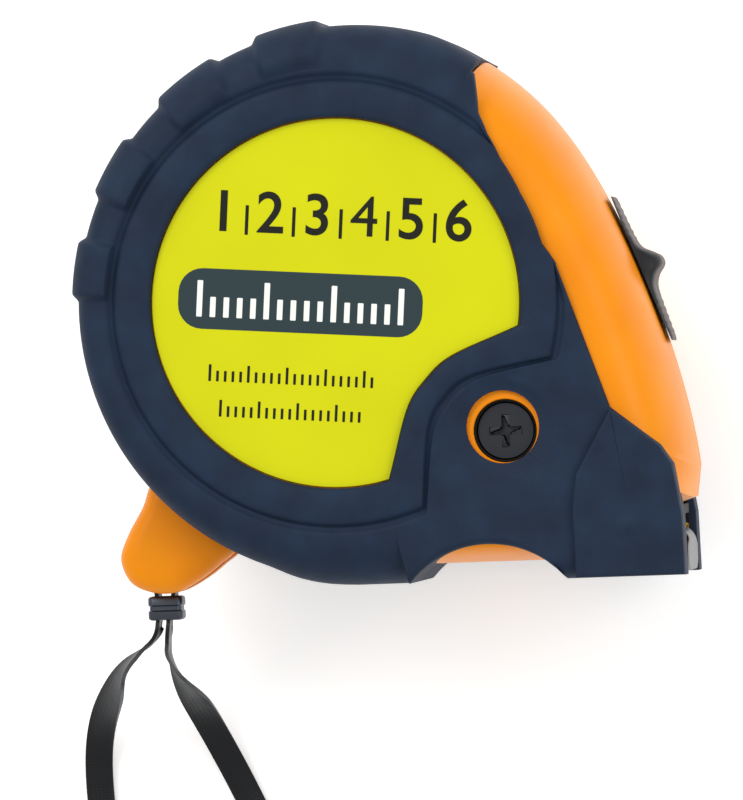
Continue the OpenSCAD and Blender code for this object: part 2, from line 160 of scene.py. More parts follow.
def sharpen(piece, angle=32.0):
    """Marks the edges sharper than an angle, so that flat faces stay flat beside them."""
    piece.data.set_sharp_from_angle(angle=math.radians(angle))
    return piece


def closed_loft(name, rings, side=1.0, sharp=32.0):
    """A closed solid through rings (n, m, 3) of equal count, its two ends closed by fans."""
    rings = np.asarray(rings, float)
    n, m = rings.shape[:2]
    points = np.concatenate([rings.reshape(-1, 3), rings[0].mean(0)[None], rings[-1].mean(0)[None]])
    return sharpen(outwards(build(name, place(points, side), capped_faces(n, m))), sharp)


def rounded_edge(edge, steps):
    """(inset, height) pairs of a quarter circle of radius edge, from the wall up to the flat."""
    t = np.linspace(0, math.pi / 2, steps)
    return np.stack([edge * (1 - np.cos(t)), edge * np.sin(t)], -1)


def inset_outline(outline, amount):
    """A closed outline moved inwards along its own normals by an amount."""
    ahead = np.roll(outline, -1, 0) - np.roll(outline, 1, 0)
    normal = np.stack([ahead[:, 1], -ahead[:, 0]], -1)
    normal /= np.linalg.norm(normal, axis=1)[:, None] + 1e-12
    area = np.sum(outline[:, 0] * np.roll(outline[:, 1], -1) - np.roll(outline[:, 0], -1) * outline[:, 1])
    return outline - normal * amount * np.sign(area)


def turned(name, profile, at):
    """A closed solid turned about an axis along h at a place: the profile holds (radius, height) pairs."""
    a = np.linspace(0, TAU, 72, endpoint=False)
    rings = [np.column_stack([at[0] + r * np.cos(a), at[1] + r * np.sin(a), np.full(72, h)])
             for r, h in profile]
    return closed_loft(name, rings)


def slab(name, outline, low, high, edge, steps=6):
    """A plate of a closed outline between two heights, with rounded upper and lower edges."""
    round_over = rounded_edge(edge, steps)
    rings = [(i, low + edge - z) for i, z in round_over[::-1]] + [(i, high - edge + z) for i, z in round_over]
    loops = []
    for inset, height in rings:
        flat = inset_outline(outline, inset)
        loops.append(np.column_stack([flat, np.full(len(flat), height)]))
    return closed_loft(name, loops)


def spline(points, count, closed=False):
    """Catmull-Rom curve through a list of points, sampled evenly in its own parameter."""
    p = np.asarray(points, float)
    n = len(p)
    t = np.linspace(0, n if closed else n - 1, count, endpoint=not closed)
    i = np.minimum(t.astype(int), n - 1 if closed else n - 2)
    f = (t - i)[:, None]
    pick = (lambda k: p[k % n]) if closed else (lambda k: p[np.clip(k, 0, n - 1)])
    a, b, c, d = pick(i - 1), pick(i), pick(i + 1), pick(i + 2)
    square, cube = 2 * a - 5 * b + 4 * c - d, 3 * b - a - 3 * c + d
    return 0.5 * (2 * b + (c - a) * f + square * f ** 2 + cube * f ** 3)


def smoothstep(low, high, x):
    """Smooth rise from 0 at low to 1 at high."""
    t = np.clip((np.asarray(x, float) - low) / (high - low), 0, 1)
    return t * t * (3 - 2 * t)


def rounded_box(half_x, half_y, corner, steps=8):
    """Outline of a rectangle with rounded corners, about the origin."""
    t = np.linspace(0, math.pi / 2, steps)
    quarter = np.stack([np.cos(t), np.sin(t)], -1) * corner
    parts = []
    for k, (sx, sy) in enumerate([(1, 1), (-1, 1), (-1, -1), (1, -1)]):
        c, s = math.cos(k * math.pi / 2), math.sin(k * math.pi / 2)
        arc = quarter @ np.array([[c, s], [-s, c]])
        parts.append(arc + [sx * (half_x - corner), sy * (half_y - corner)])
    return np.concatenate(parts)


# ------------------------------------------------------------------ outlines of the case

def bearing(x, y):
    """Angle of a point about the reel, in degrees."""
    return math.degrees(math.atan2(y, x))


def to_line(a, p, q):
    """Distance from the reel, along the ray at angle a in radians, to the line through p and q."""
    nx, ny = -(q[1] - p[1]), q[0] - p[0]
    reach = nx * p[0] + ny * p[1]
    facing = nx * np.cos(a) + ny * np.sin(a)
    return reach / np.where(np.abs(facing) < 1e-6, 1e-6, facing)


def to_circle(a, centre, radius):
    """Distance along the ray to the near side of a circle, or a large number where it misses."""
    along = centre[0] * np.cos(a) + centre[1] * np.sin(a)
    inside = along ** 2 - (centre[0] ** 2 + centre[1] ** 2 - radius ** 2)
    return np.where(inside > 0, along - np.sqrt(np.maximum(inside, 0)), 1e3)


def round_reach(deg, radius):
    """Distance from the label's centre to the round part's circle, whose own centre is BODY_X ahead."""
    a = np.radians(deg)
    return BODY_X * np.cos(a) + np.sqrt(radius ** 2 - (BODY_X * np.sin(a)) ** 2)


def front_curve():
    """Front edge of the case: one cubic from the round part to the tip, as angles and distances."""
    a = math.radians(FRONT_A)
    p0 = FRONT_START * np.array([math.cos(a), math.sin(a)])
    p1 = p0 + 14 * np.array([math.sin(a), -math.cos(a)])
    p3 = np.array(FRONT_TIP)
    p2 = np.array([FRONT_TIP[0] - 1.6, -10])
    t = np.linspace(0, 1, 120)[:, None]
    p = (1 - t) ** 3 * p0 + 3 * (1 - t) ** 2 * t * p1 + 3 * (1 - t) * t ** 2 * p2 + t ** 3 * p3
    return np.degrees(np.arctan2(p[:, 1], p[:, 0])), np.hypot(p[:, 0], p[:, 1])


FRONT_ANGLES, FRONT_REACH = front_curve()
TIP_A = float(FRONT_ANGLES[-1])


def piecewise(deg, stops, reaches):
    """Picks a distance for each angle: reaches[k] holds below stops[k], in rising order."""
    return np.select([deg < s for s in stops], reaches[:-1], reaches[-1])


def core_reach(deg):
    """Outline of the orange case by angle, -180 to 180: round behind, curved front, flat nose and base."""
    a = np.radians(deg)
    under = (51.4, -30.7)
    corner = (CORE_NOSE_X, -31.6)
    stops = [-90.0, bearing(CORE_NOSE_X, CORE_BASE_Y), bearing(*corner), bearing(*under), TIP_A, FRONT_A,
             ORANGE_A]
    core = round_reach(deg, CORE_R)
    base = np.maximum(core, to_line(a, (0, CORE_BASE_Y), (1, CORE_BASE_Y)))
    case = np.minimum(round_reach(deg, CASE_R), FRONT_START + 0.012 * (deg - FRONT_A))
    return piecewise(deg, stops, [
        core, base, to_line(a, (CORE_NOSE_X, 0), (CORE_NOSE_X, 1)),
        to_line(a, corner, under), to_line(a, under, FRONT_TIP),
        np.interp(deg, FRONT_ANGLES[::-1], FRONT_REACH[::-1]), case, core])


GRIP_CORNERS = [(NOSE_X, BASE_Y), (50.4, -33.0), (49.2, -25.4), (47.4, -22.6), (40.2, -16.8),
                (33.2 * math.cos(math.radians(8)), 33.2 * math.sin(math.radians(8)))]


def ring_edge(deg):
    """Outer edge of the raised ring beside the orange front, which swings out to the rim at its upper end."""
    return np.interp(deg, [8, 14, 27, 39, 46, 51, 54, 57], [33.3, 31.9, 31.8, 32.5, 33.7, 35.2, 37.4, 39.8])


def grip_reach(deg):
    """Outline of the rubber by angle: base with its arch, nose, the line down the front, ring, and rim."""
    a = np.radians(deg)
    stops = [-88.0] + [bearing(*p) for p in GRIP_CORNERS] + [ORANGE_A]
    foot_line = to_line(a, (0, BASE_Y), (1, BASE_Y))
    base = np.minimum(foot_line, to_circle(a, *ARCH))
    sides = [to_line(a, p, q) for p, q in zip(GRIP_CORNERS, GRIP_CORNERS[1:])]
    case = round_reach(deg, CASE_R) - 0.75 * smoothstep(70, ORANGE_A, deg) * (deg > 0)
    foot = smoothstep(-108, -86, deg) * (deg < 0)
    case = case + foot * (np.minimum(foot_line, 43) - case)
    return piecewise(deg, stops, [case, np.maximum(base, 0)] + sides + [ring_edge(deg), case])


def bite(deg, depth, middle, half):
    """Dip in a circle by angle: depth x (1 - |u|^2.6), with u running from -1 to 1 across it."""
    u = np.abs((np.asarray(deg) - middle) / half)
    return depth * np.maximum(0, 1 - u ** 2.6)


def label_reach(deg):
    """Outline of the label, with its bite for the screw's panel."""
    return 27.2 - bite(deg, 9.8, -42.0, 33.0)


def groove_reach(deg):
    """Line of the groove round the raised ring, with a wider bite."""
    return 33.0 - bite(deg, 11.6, -42.3, 26.3)


def slant(reach, deg):
    """Cosine between the ray and the outline's normal, from the outline's own slope."""
    step = 0.05
    slope = (reach(deg + step) - reach(deg - step)) / math.radians(2 * step) / reach(deg)
    return 1 / np.sqrt(1 + np.clip(slope, -1.0, 1.0) ** 2)


def shoulder_size(deg):
    """How far the core's shoulder reaches in: wide on the orange front, less under the rubber."""
    front = smoothstep(ORANGE_A + 0.6, ORANGE_A - 6, deg) * smoothstep(-33, -27, deg)
    return 4.0 + (FRONT_DEPTH - 4.0) * front


def core_height(x, y):
    """Height of the core's outer face at plan points: a superellipse of the distance from its outline."""
    deg = np.degrees(np.arctan2(y, x))
    depth = (core_reach(deg) - np.hypot(x, y)) * slant(core_reach, deg) / shoulder_size(deg)
    d = np.clip(depth, 0, 1)
    return SHELL_TOP * np.maximum(0, 1 - (1 - d) ** FRONT_POWER) ** (1 / FRONT_POWER)


def angle_columns(breaks, count):
    """Angles from -180 to 180, with two columns a hair apart at each break, so that steps stay crisp."""
    hair = 0.02
    even = np.linspace(-180, 180, count, endpoint=False)
    extra = np.array([b + s * hair for b in breaks for s in (-1, 1)])
    keep = np.all(np.abs(even[:, None] - np.array(breaks)[None, :]) > 0.2, axis=1)
    return np.sort(np.concatenate([even[keep], extra]))


def polar_points(deg, r, h):
    """Points at angles, distances and heights about the reel."""
    a = np.radians(deg)
    return np.stack([r * np.cos(a), r * np.sin(a), h], -1)


MOUTH_BREAKS = [bearing(CORE_NOSE_X, y) for y in (-38.2, -33.2)]


def core_shell(name, side):
    """Half of the orange case as a shell: side wall, shoulder, rim, seam edge and back inside.

    Each column is one closed profile at its angle about the reel. The mouth is a stretch of the nose where
    the rim stops short of the seam. The right half is open over the large screw, the left half over three.
    """
    breaks = [ORANGE_A, -90.0, TIP_A] + MOUTH_BREAKS + [bearing(CORE_NOSE_X, y) for y in (CORE_BASE_Y, -31.6)]
    deg = angle_columns(breaks, 560)
    reach = core_reach(deg)
    cos_slant = slant(core_reach, deg)
    depth = shoulder_size(deg)
    in_mouth = (deg > MOUTH_BREAKS[0]) & (deg < MOUTH_BREAKS[1])
    seam = np.where(in_mouth, 13.1, 0.08)
    hub_r = 3.3
    rows = []
    flat_in = reach - depth / cos_slant
    for t in np.linspace(0, 1, 10):
        rows.append((hub_r + (flat_in - hub_r) * t, np.full_like(deg, SHELL_TOP)))
    for t in np.linspace(0, math.pi / 2, 18)[1:]:
        d = depth * (1 - np.sin(t) ** (2 / FRONT_POWER))
        h = SHELL_TOP * np.cos(t) ** (2 / FRONT_POWER)
        rows.append((reach - d / cos_slant, np.maximum(h, seam + 0.25)))
    rows.append((reach - 0.02, seam + 0.12))
    rows.append((reach - 0.16, seam))
    rows.append((reach - (WALL - 0.1) / cos_slant, seam))
    for t in np.linspace(math.pi / 2, 0, 12):
        d = depth * (1 - np.sin(t) ** (2 / FRONT_POWER))
        h = (SHELL_TOP - WALL) * np.cos(t) ** (2 / FRONT_POWER)
        rows.append((reach - (d + WALL) / cos_slant, np.maximum(h, seam + 0.1)))
    for t in np.linspace(1, 0, 6)[1:]:
        rows.append((hub_r + (flat_in - WALL / cos_slant - hub_r) * t, np.full_like(deg, SHELL_TOP - WALL)))
    grid = np.stack([polar_points(deg, r, h) for r, h in rows], 0)
    faces = grid_faces(len(rows), len(deg), wrap_rows=True)
    piece = outwards(build(name, place(grid.reshape(-1, 3), side), faces))
    if side > 0:
        cut_hole(piece, BOSS_HOLE, BOSS_HOLE_R, 17.4, side)
    else:
        for spot in CASE_SCREWS:
            cut_hole(piece, spot, 2.5, 17.2, side)
    return sharpen(piece, 38)


def cut_hole(piece, centre, radius, low, side):
    """Cuts a round hole along h from a height upwards, and keeps the result as the piece's own mesh."""
    a = np.linspace(0, TAU, 96, endpoint=False)
    ring = np.stack([centre[0] + radius * np.cos(a), centre[1] + radius * np.sin(a)], -1)
    cutter = closed_loft("cutter", [np.column_stack([ring, np.full(96, h)]) for h in (low, 30)], side)
    cut = piece.modifiers.new("hole", "BOOLEAN")
    cut.operation, cut.solver, cut.object = "DIFFERENCE", "EXACT", cutter
    graph = bpy.context.evaluated_depsgraph_get()
    mesh = bpy.data.meshes.new_from_object(piece.evaluated_get(graph), depsgraph=graph)
    piece.modifiers.clear()
    piece.data = mesh
    bpy.data.objects.remove(cutter)
    mesh.polygons.foreach_set("use_smooth", np.ones(len(mesh.polygons), bool))


NOSE_EDGE = [(40.15, -17.1), (38.2, -20.6), (34.8, -26.6), (34.1, -31.8), (34.4, -41.9), (50.5, -41.9),
             (50.3, -33.0), (49.1, -25.5), (47.3, -22.75)]


def dense(outline, spacing):
    """A closed outline of straight sides with points about a spacing apart along each side."""
    parts = []
    for p, q in zip(outline, list(outline[1:]) + [outline[0]]):
        count = max(2, int(math.dist(p, q) / spacing))
        t = np.arange(count)[:, None] / count
        parts.append(np.array(p) + (np.array(q) - np.array(p)) * t)
    return np.concatenate(parts)


def nose_height(x, y):
    """Top of the nose's facet: it falls forwards from its left edge, and has a small boss near its middle."""
    lift = 1.05 - 0.75 * smoothstep(35, 51, x)
    return PLATE + lift + 0.35 * np.exp(-((x - 42.6) ** 2 + (y + 34.2) ** 2) / 1.5 ** 2)


def nose_facet(name, side):
    """Plate of rubber on the nose: rings of its outline that close in over a rounded edge to its middle."""
    outline = dense(NOSE_EDGE, 0.5)
    middle = np.array([42.6, -32.0])
    rings = [np.column_stack([inset_outline(outline, 0.25), np.full(len(outline), 21.6)])]
    for drop, inset in [(0.75, 0.0), (0.3, 0.02), (0.14, 0.1), (0.05, 0.24), (0.0, 0.48)]:
        flat = inset_outline(outline, inset)
        rings.append(np.column_stack([flat, nose_height(*flat.T) - drop]))
    start = inset_outline(outline, 0.48)
    for t in np.linspace(0, 1, 26)[1:-1]:
        flat = start + (middle - start) * t
        rings.append(np.column_stack([flat, nose_height(*flat.T)]))
    return closed_loft(name, rings, side, sharp=60)


def boss_dish(x, y):
    """Shallow dish and chamfer round the screw's hole."""
    d = np.hypot(x - BOSS_HOLE[0], y - BOSS_HOLE[1])
    return -0.45 * smoothstep(7.4, 5.6, d) - 0.25 * smoothstep(10.5, 7.0, d)


def pad_amount(deg):
    """1 on a rim pad and 0 between pads, with soft ends."""
    total = np.zeros_like(deg)
    for start, end in PADS:
        total += smoothstep(start - 0.9, start + 1.1, deg) * smoothstep(end + 0.9, end - 1.1, deg)
    return total


def grip_shell(name, side):
    """Half of the rubber jacket, as one closed profile at each angle about the reel.

    From the window's wall it rises over the raised ring, dips in the groove, runs out over the flat panel,
    rounds the shoulder and goes down the rim to the seam, or to the orange face where the front shows.
    """
    corner_angles = [bearing(*p) for p in GRIP_CORNERS]
    cheek = bearing(CORE_NOSE_X + 0.1, BASE_Y)
    breaks = corner_angles + [ORANGE_A, -88.0, cheek, -31.2] + list(ARCH_ENDS)
    deg = angle_columns(breaks, 760)
    window = label_reach(deg) + 0.3
    out = grip_reach(deg)
    groove = groove_reach(deg)
    cos_slant = slant(grip_reach, deg)
    room = np.clip((out - groove - 0.2) / 1.7, 0, 1)
    rim = (deg > ORANGE_A) | (deg < ARCH_ENDS[0])
    base = (deg > ARCH_ENDS[1]) & (deg < corner_angles[0])
    soft = np.where(rim, 8.0, np.where(base, 3.2, 1.1))
    soft = np.minimum(soft, np.maximum((out - groove - 1.8) * cos_slant, 0.2))
    ax, ay = out * np.cos(np.radians(deg)), out * np.sin(np.radians(deg))
    on_core = np.minimum(core_height(ax, ay) - 0.7, PLATE - 1.2)
    low = np.where(rim | base, 0.12, on_core)
    low = np.where((deg > cheek) & (deg < -31.2), 14.3, low)
    under_lug = (deg > -143) & (deg < -116)
    low = np.where(under_lug, 8.7, low)
    rows = [(window, np.full_like(deg, 20.8)), (window, np.full_like(deg, 22.35)),
            (window + 0.12, np.full_like(deg, 22.75)), (window + 0.45, np.full_like(deg, 22.97))]
    band_end = groove - 0.75
    for t in np.linspace(0, 1, 16)[1:-1]:
        crown = 0.16 * math.sin(math.pi * t)
        rows.append((window + 0.6 + (band_end - window - 0.6) * t, 23 + crown + 0 * deg))
    for off, h in [(-0.7, 22.98), (-0.35, 22.85), (-0.1, 22.55), (0.05, 22.2), (0.3, 21.95), (0.6, 21.95),
                   (0.9, 22.12), (1.15, 22.32), (1.5, PLATE)]:
        scaled = groove + off * np.where(off > 0, room, 1)
        rows.append((np.minimum(scaled, out - 0.02), h + 0 * deg))
    flat_end = out - soft / cos_slant
    flat_start = np.minimum(groove + 1.6 * room, flat_end)
    for t in np.linspace(0, 1, 24):
        rows.append((flat_start + (flat_end - flat_start) * t, PLATE + 0 * deg))
    for t in np.linspace(0, math.pi / 2, 16)[1:]:
        inset = soft * (1 - np.sin(t) ** (2 / 2.2))
        drop = soft * (1 - np.cos(t) ** (2 / 2.2))
        rows.append((out - inset / cos_slant, PLATE - drop))
    wall_top = PLATE - soft
    for t in np.linspace(0, 1, 9)[1:-1]:
        rows.append((out + 0 * deg, wall_top + (low + 0.3 - wall_top) * t))
    rows += [(out + 0 * deg, low + 0.3), (out - 0.1, low + 0.08), (out - 0.35, low + 0 * deg)]
    rows += [(np.maximum(out - 1.7, window + 1.2), low + 0 * deg),
             (np.maximum(out - 2.4, window + 0.8), np.maximum(low, 20.6)), (window + 0.3, 20.6 + 0 * deg)]
    r = np.stack([a for a, _ in rows])
    h = np.stack([b for _, b in rows])
    narrow = room < 0.02
    h = np.where(narrow & (r > out - 0.05) & (h > PLATE - 0.1), np.minimum(h, PLATE + 0.2), h)
    x, y = r * np.cos(np.radians(deg)), r * np.sin(np.radians(deg))
    on_panel = smoothstep(20.7, 21.6, h) * smoothstep(-0.2, 0.9, r - groove - 1.2 * room)
    h = h + on_panel * boss_dish(x, y)
    inward = round_reach(deg, CASE_R) - r
    proud = pad_amount(deg) * smoothstep(6.2, 4.2, inward) * (h > 0) * (r > 34)
    lean = np.clip((h - 14.4) / 8.0, 0, 1)
    r = r + 1.15 * proud * np.sqrt(1 - lean ** 2)
    h = h + 0.9 * proud * lean
    grid = polar_points(np.broadcast_to(deg, r.shape), r, h)
    faces = grid_faces(len(rows), len(deg), wrap_rows=True)
    piece = outwards(build(name, place(grid.reshape(-1, 3), side), faces))
    cut_hole(piece, BOSS_HOLE, BOSS_HOLE_R, 18.5, side)
    if side < 0:
        for spot in CASE_SCREWS:
            cut_hole(piece, spot, 2.6, 15, side)
    return sharpen(piece, 40)


# ------------------------------------------------------------------ materials

def linear(hex_code):
    """An sRGB hex colour as linear red, green, blue and alpha."""
    parts = [int(hex_code[i:i + 2], 16) / 255 for i in (1, 3, 5)]
    return tuple(c / 12.92 if c <= 0.04045 else ((c + 0.055) / 1.055) ** 2.4 for c in parts) + (1.0,)


def add(tree, kind, settings=None, **links):
    """Adds a node, sets its properties or sockets, and links its inputs from other sockets."""
    made = tree.nodes.new(kind)
    for key, value in (settings or {}).items():
        if isinstance(key, int) or key in made.inputs:
            made.inputs[key].default_value = value
        else:
            setattr(made, key, value)
    for key, source in links.items():
        socket = made.inputs[int(key[1:])] if key[0] == "i" and key[1:].isdigit() else made.inputs[key]
        tree.links.new(source, socket)
    return made


def start_material(name, colour, roughness, metallic=0.0, **sockets):
    """A named material with a Principled shader, and its node tree."""
    made = bpy.data.materials.new(name)
    made.use_nodes = True
    made.diffuse_color = linear(colour)
    tree = made.node_tree
    shader = tree.nodes["Principled BSDF"]
    shader.inputs["Base Color"].default_value = linear(colour)
    shader.inputs["Roughness"].default_value = roughness
    shader.inputs["Metallic"].default_value = metallic
    for key, value in sockets.items():
        shader.inputs[key.replace("_", " ")].default_value = value
    return made, tree, shader


def per_metre(size_mm):
    """Scale of a noise or wave whose features are about size_mm across, on Object coordinates."""
    return 1 / (size_mm * MM)


def bands(period):
    """Scale of a wave whose bands stand a period apart, in the unit of its own coordinates."""
    return TAU / 20 / period


def noise(tree, size_mm, detail):
    """Noise on Object coordinates with features of a size in millimetres."""
    coords = add(tree, "ShaderNodeTexCoord").outputs["Object"]
    return add(tree, "ShaderNodeTexNoise", {"Scale": per_metre(size_mm), "Detail": detail}, Vector=coords)


def two_tone(tree, factor, low, high):
    """Colour ramp between two hex colours."""
    ramp = add(tree, "ShaderNodeValToRGB", Fac=factor)
    ramp.color_ramp.elements[0].position, ramp.color_ramp.elements[1].position = 0.3, 0.7
    ramp.color_ramp.elements[0].color, ramp.color_ramp.elements[1].color = linear(low), linear(high)
    return ramp.outputs["Color"]


def spread(tree, factor, low, high):
    """A factor from 0 to 1 spread between two numbers, such as two roughnesses."""
    return add(tree, "ShaderNodeMapRange", {"To Min": low, "To Max": high}, Value=factor).outputs["Result"]


def roughen(tree, shader, height, strength, depth_mm):
    """Bump of a depth in millimetres on the shader's normal."""
    bump = add(tree, "ShaderNodeBump", {"Strength": strength, "Distance": depth_mm * MM}, Height=height)
    tree.links.new(bump.outputs["Normal"], shader.inputs["Normal"])


def moulded_abs():
    """Injection moulded ABS, orange: even colour, a soft satin gloss and a faint moulded grain."""
    made, tree, shader = start_material("moulded_abs_orange", "#EC8B00", 0.38, IOR=1.53,
                                        Specular_IOR_Level=0.18)
    cloud = noise(tree, 14, 2).outputs["Fac"]
    tree.links.new(two_tone(tree, cloud, "#E88400", "#F09000"), shader.inputs["Base Color"])
    tree.links.new(spread(tree, noise(tree, 5, 4).outputs["Fac"], 0.32, 0.46), shader.inputs["Roughness"])
    roughen(tree, shader, noise(tree, 0.5, 3).outputs["Fac"], 0.25, 0.03)
    return made


def moulded_rubber():
    """Thermoplastic rubber, dark slate: matt, with a fine spark-eroded grain that softens its highlights."""
    made, tree, shader = start_material("moulded_rubber_slate", "#17263A", 0.66, IOR=1.45,
                                        Specular_IOR_Level=0.25)
    cloud = noise(tree, 6, 3).outputs["Fac"]
    tree.links.new(two_tone(tree, cloud, "#142235", "#1A2B42"), shader.inputs["Base Color"])
    tree.links.new(spread(tree, noise(tree, 2.5, 5).outputs["Fac"], 0.56, 0.76), shader.inputs["Roughness"])
    roughen(tree, shader, noise(tree, 0.35, 2).outputs["Fac"], 0.4, 0.06)
    return made


def printed_film():
    """Printed polyester film: flat bright colour under a clear gloss, with slight ripples of its glue."""
    made, tree, shader = start_material("printed_film_yellow", "#D2D400", 0.36, IOR=1.5,
                                        Specular_IOR_Level=0.15)
    shader.inputs["Coat Weight"].default_value = 0.12
    shader.inputs["Coat Roughness"].default_value = 0.12
    cloud = noise(tree, 22, 2).outputs["Fac"]
    tree.links.new(two_tone(tree, cloud, "#CBCB00", "#D3D400"), shader.inputs["Base Color"])
    roughen(tree, shader, noise(tree, 6, 2).outputs["Fac"], 0.15, 0.05)
    return made


def print_ink(name, colour):
    """Screen-printed ink: dense and flat, a little less glossy than the film."""
    made, tree, shader = start_material(name, colour, 0.5, Specular_IOR_Level=0.2)
    tree.links.new(spread(tree, noise(tree, 0.8, 4).outputs["Fac"], 0.36, 0.52), shader.inputs["Roughness"])
    return made


def moulded_black(name="moulded_abs_black", colour="#15171A", roughness=0.45):
    """Black moulded plastic: near black with a low satin sheen and fine grain."""
    made, tree, shader = start_material(name, colour, roughness, IOR=1.5, Specular_IOR_Level=0.3)
    tree.links.new(spread(tree, noise(tree, 3, 5).outputs["Fac"], roughness - 0.08, roughness + 0.12),
                   shader.inputs["Roughness"])
    roughen(tree, shader, noise(tree, 0.4, 2).outputs["Fac"], 0.3, 0.04)
    return made


def plated_metal(name, colour, rough, brushed_mm=0.5, stretch=(1.0, 30.0, 30.0)):
    """Plated or brushed steel: bright, with streaks along the direction that it was drawn in."""
    made, tree, shader = start_material(name, colour, rough, 1.0)
    coords = add(tree, "ShaderNodeTexCoord").outputs["Object"]
    scaled = add(tree, "ShaderNodeMapping", {"Scale": stretch}, Vector=coords).outputs["Vector"]
    streaks = add(tree, "ShaderNodeTexNoise", {"Scale": per_metre(brushed_mm * 20), "Detail": 4.0},
                  Vector=scaled).outputs["Fac"]
    tree.links.new(spread(tree, streaks, rough - 0.08, rough + 0.14), shader.inputs["Roughness"])
    roughen(tree, shader, streaks, 0.12, 0.02)
    return made


def lacquered_blade():
    """Lacquered spring steel: yellow, with black millimetre marks on both edges and a clear coat.

    The marks are drawn by distance along x from the hook and by distance from each edge of the strip.
    """
    made, tree, shader = start_material("lacquered_steel_yellow", "#F2CE1B", 0.28, IOR=1.5)
    shader.inputs["Coat Weight"].default_value = 0.5
    shader.inputs["Coat Roughness"].default_value = 0.08
    coords = add(tree, "ShaderNodeTexCoord").outputs["Object"]
    tip = float(REEL[0]) + BLADE_TIP * MM
    local = add(tree, "ShaderNodeMapping", {"Location": (-tip, 0, -float(REEL[2]))}, Vector=coords)
    split = add(tree, "ShaderNodeSeparateXYZ", Vector=local.outputs["Vector"])
    edge = add(tree, "ShaderNodeMath", {"operation": "ABSOLUTE"}, i0=split.outputs["Z"]).outputs[0]

    def maths(operation, a, b):
        node = add(tree, "ShaderNodeMath", {"operation": operation})
        for socket, value in zip(node.inputs, (a, b)):
            if isinstance(value, (int, float)):
                socket.default_value = value
            else:
                tree.links.new(value, socket)
        return node.outputs[0]

    marks = None
    for pitch, width, length in [(1, 0.22, 3.2), (5, 0.26, 4.8), (10, 0.34, 8.5)]:
        place_in = maths("PINGPONG", split.outputs["X"], pitch * MM / 2)
        near = maths("LESS_THAN", place_in, width * MM / 2)
        reach = maths("GREATER_THAN", edge, (12.5 - length) * MM)
        tick = maths("MULTIPLY", near, reach)
        marks = tick if marks is None else maths("MAXIMUM", marks, tick)
    mixed = add(tree, "ShaderNodeMix", {"data_type": "RGBA"}, Factor=marks)
    tree.links.new(two_tone(tree, noise(tree, 16, 2).outputs["Fac"], "#EFC812", "#F6D52A"), mixed.inputs[6])
    mixed.inputs[7].default_value = linear("#141414")
    tree.links.new(mixed.outputs[2], shader.inputs["Base Color"])
    return made


def satin_ribbon():
    """Black satin ribbon: smooth long floats that shine along the weave, and corded selvedges.

    Its own map holds the distance along it and across it. The threads are drawn at 0.35 mm, a little coarser
    than real ones, so that they show.
    """
    made, tree, shader = start_material("satin_ribbon_black", "#08090C", 0.42, IOR=1.5,
                                        Specular_IOR_Level=0.3)
    shader.inputs["Sheen Weight"].default_value = 0.12
    shader.inputs["Sheen Roughness"].default_value = 0.35
    shader.inputs["Sheen Tint"].default_value = linear("#8FA6C8")
    shader.inputs["Anisotropic"].default_value = 0.5
    coords = add(tree, "ShaderNodeUVMap", {"uv_map": "weave"}).outputs["UV"]
    threads = add(tree, "ShaderNodeTexWave", {"Scale": bands(0.45), "Distortion": 0.6, "Detail": 1.0,
                                             "bands_direction": "X"}, Vector=coords).outputs["Fac"]
    floats = add(tree, "ShaderNodeTexWave", {"Scale": bands(0.6), "Distortion": 0.4, "bands_direction": "Y"},
                 Vector=coords).outputs["Fac"]
    both = add(tree, "ShaderNodeMath", {"operation": "MULTIPLY_ADD", 1: 0.6}, i0=threads,
               i2=floats).outputs[0]
    tree.links.new(two_tone(tree, threads, "#060709", "#0F1116"), shader.inputs["Base Color"])
    tree.links.new(spread(tree, noise(tree, 3, 3).outputs["Fac"], 0.3, 0.5), shader.inputs["Roughness"])
    roughen(tree, shader, both, 0.35, 0.05)
    return made


def pale_card():
    """Matt white card, lit through from below as on a light table, so that shadows stay faint."""
    made, tree, shader = start_material("studio_card", "#FBFBF9", 0.9)
    shader.inputs["Emission Color"].default_value = (1, 1, 1, 1)
    shader.inputs["Emission Strength"].default_value = 0.36
    tree.links.new(two_tone(tree, noise(tree, 60, 2).outputs["Fac"], "#FAFAF8", "#FCFCFB"),
                   shader.inputs["Base Color"])
    return made


MATERIALS = {}


def material(name):
    """The material of that name, made once by its own function."""
    makers = {
        "abs": moulded_abs, "rubber": moulded_rubber, "film": printed_film, "black": moulded_black,
        "ink": lambda: print_ink("screen_ink_black", "#17180F"),
        "slate_ink": lambda: print_ink("screen_ink_slate", "#2A3A3E"),
        "white_ink": lambda: print_ink("screen_ink_white", "#EFF1EA"),
        # Black rubber of the mouth bumper; the same black also lines the screw's recess as painted shade.
        "soft_black": lambda: moulded_black("rubber_black_and_recess_shade", "#101113", 0.62),
        "brake": lambda: moulded_black("brake_rubber_red", "#5A1A16", 0.66),
        "acetal": lambda: moulded_black("moulded_acetal_white", "#D9D9D2", 0.4),
        "blade": lacquered_blade,
        "nickel": lambda: plated_metal("dark_nickel_plated_steel", "#4E5054", 0.3),
        "alu": lambda: plated_metal("aluminium_rivet", "#D4D5D6", 0.3, 0.4, (8, 8, 8)),
        "spring": lambda: plated_metal("blued_spring_steel", "#5D6678", 0.3, 0.5, (30, 30, 1)),
        "turned": lambda: plated_metal("turned_steel", "#B9BABD", 0.32, 0.3, (30, 30, 1)),
        "oxide": lambda: plated_metal("black_oxide_steel", "#3A3C40", 0.4, 0.6, (6, 6, 6)),
        "clip": lambda: plated_metal("plated_spring_steel", "#BFC2C6", 0.22, 0.5, (30, 1, 30)),
        "collar": lambda: plated_metal("blackened_crimp_steel", "#4C5058", 0.36, 0.4, (8, 8, 8)),
        "ribbon": satin_ribbon, "card": pale_card,
    }
    if name not in MATERIALS:
        MATERIALS[name] = makers[name]()
    return MATERIALS[name]


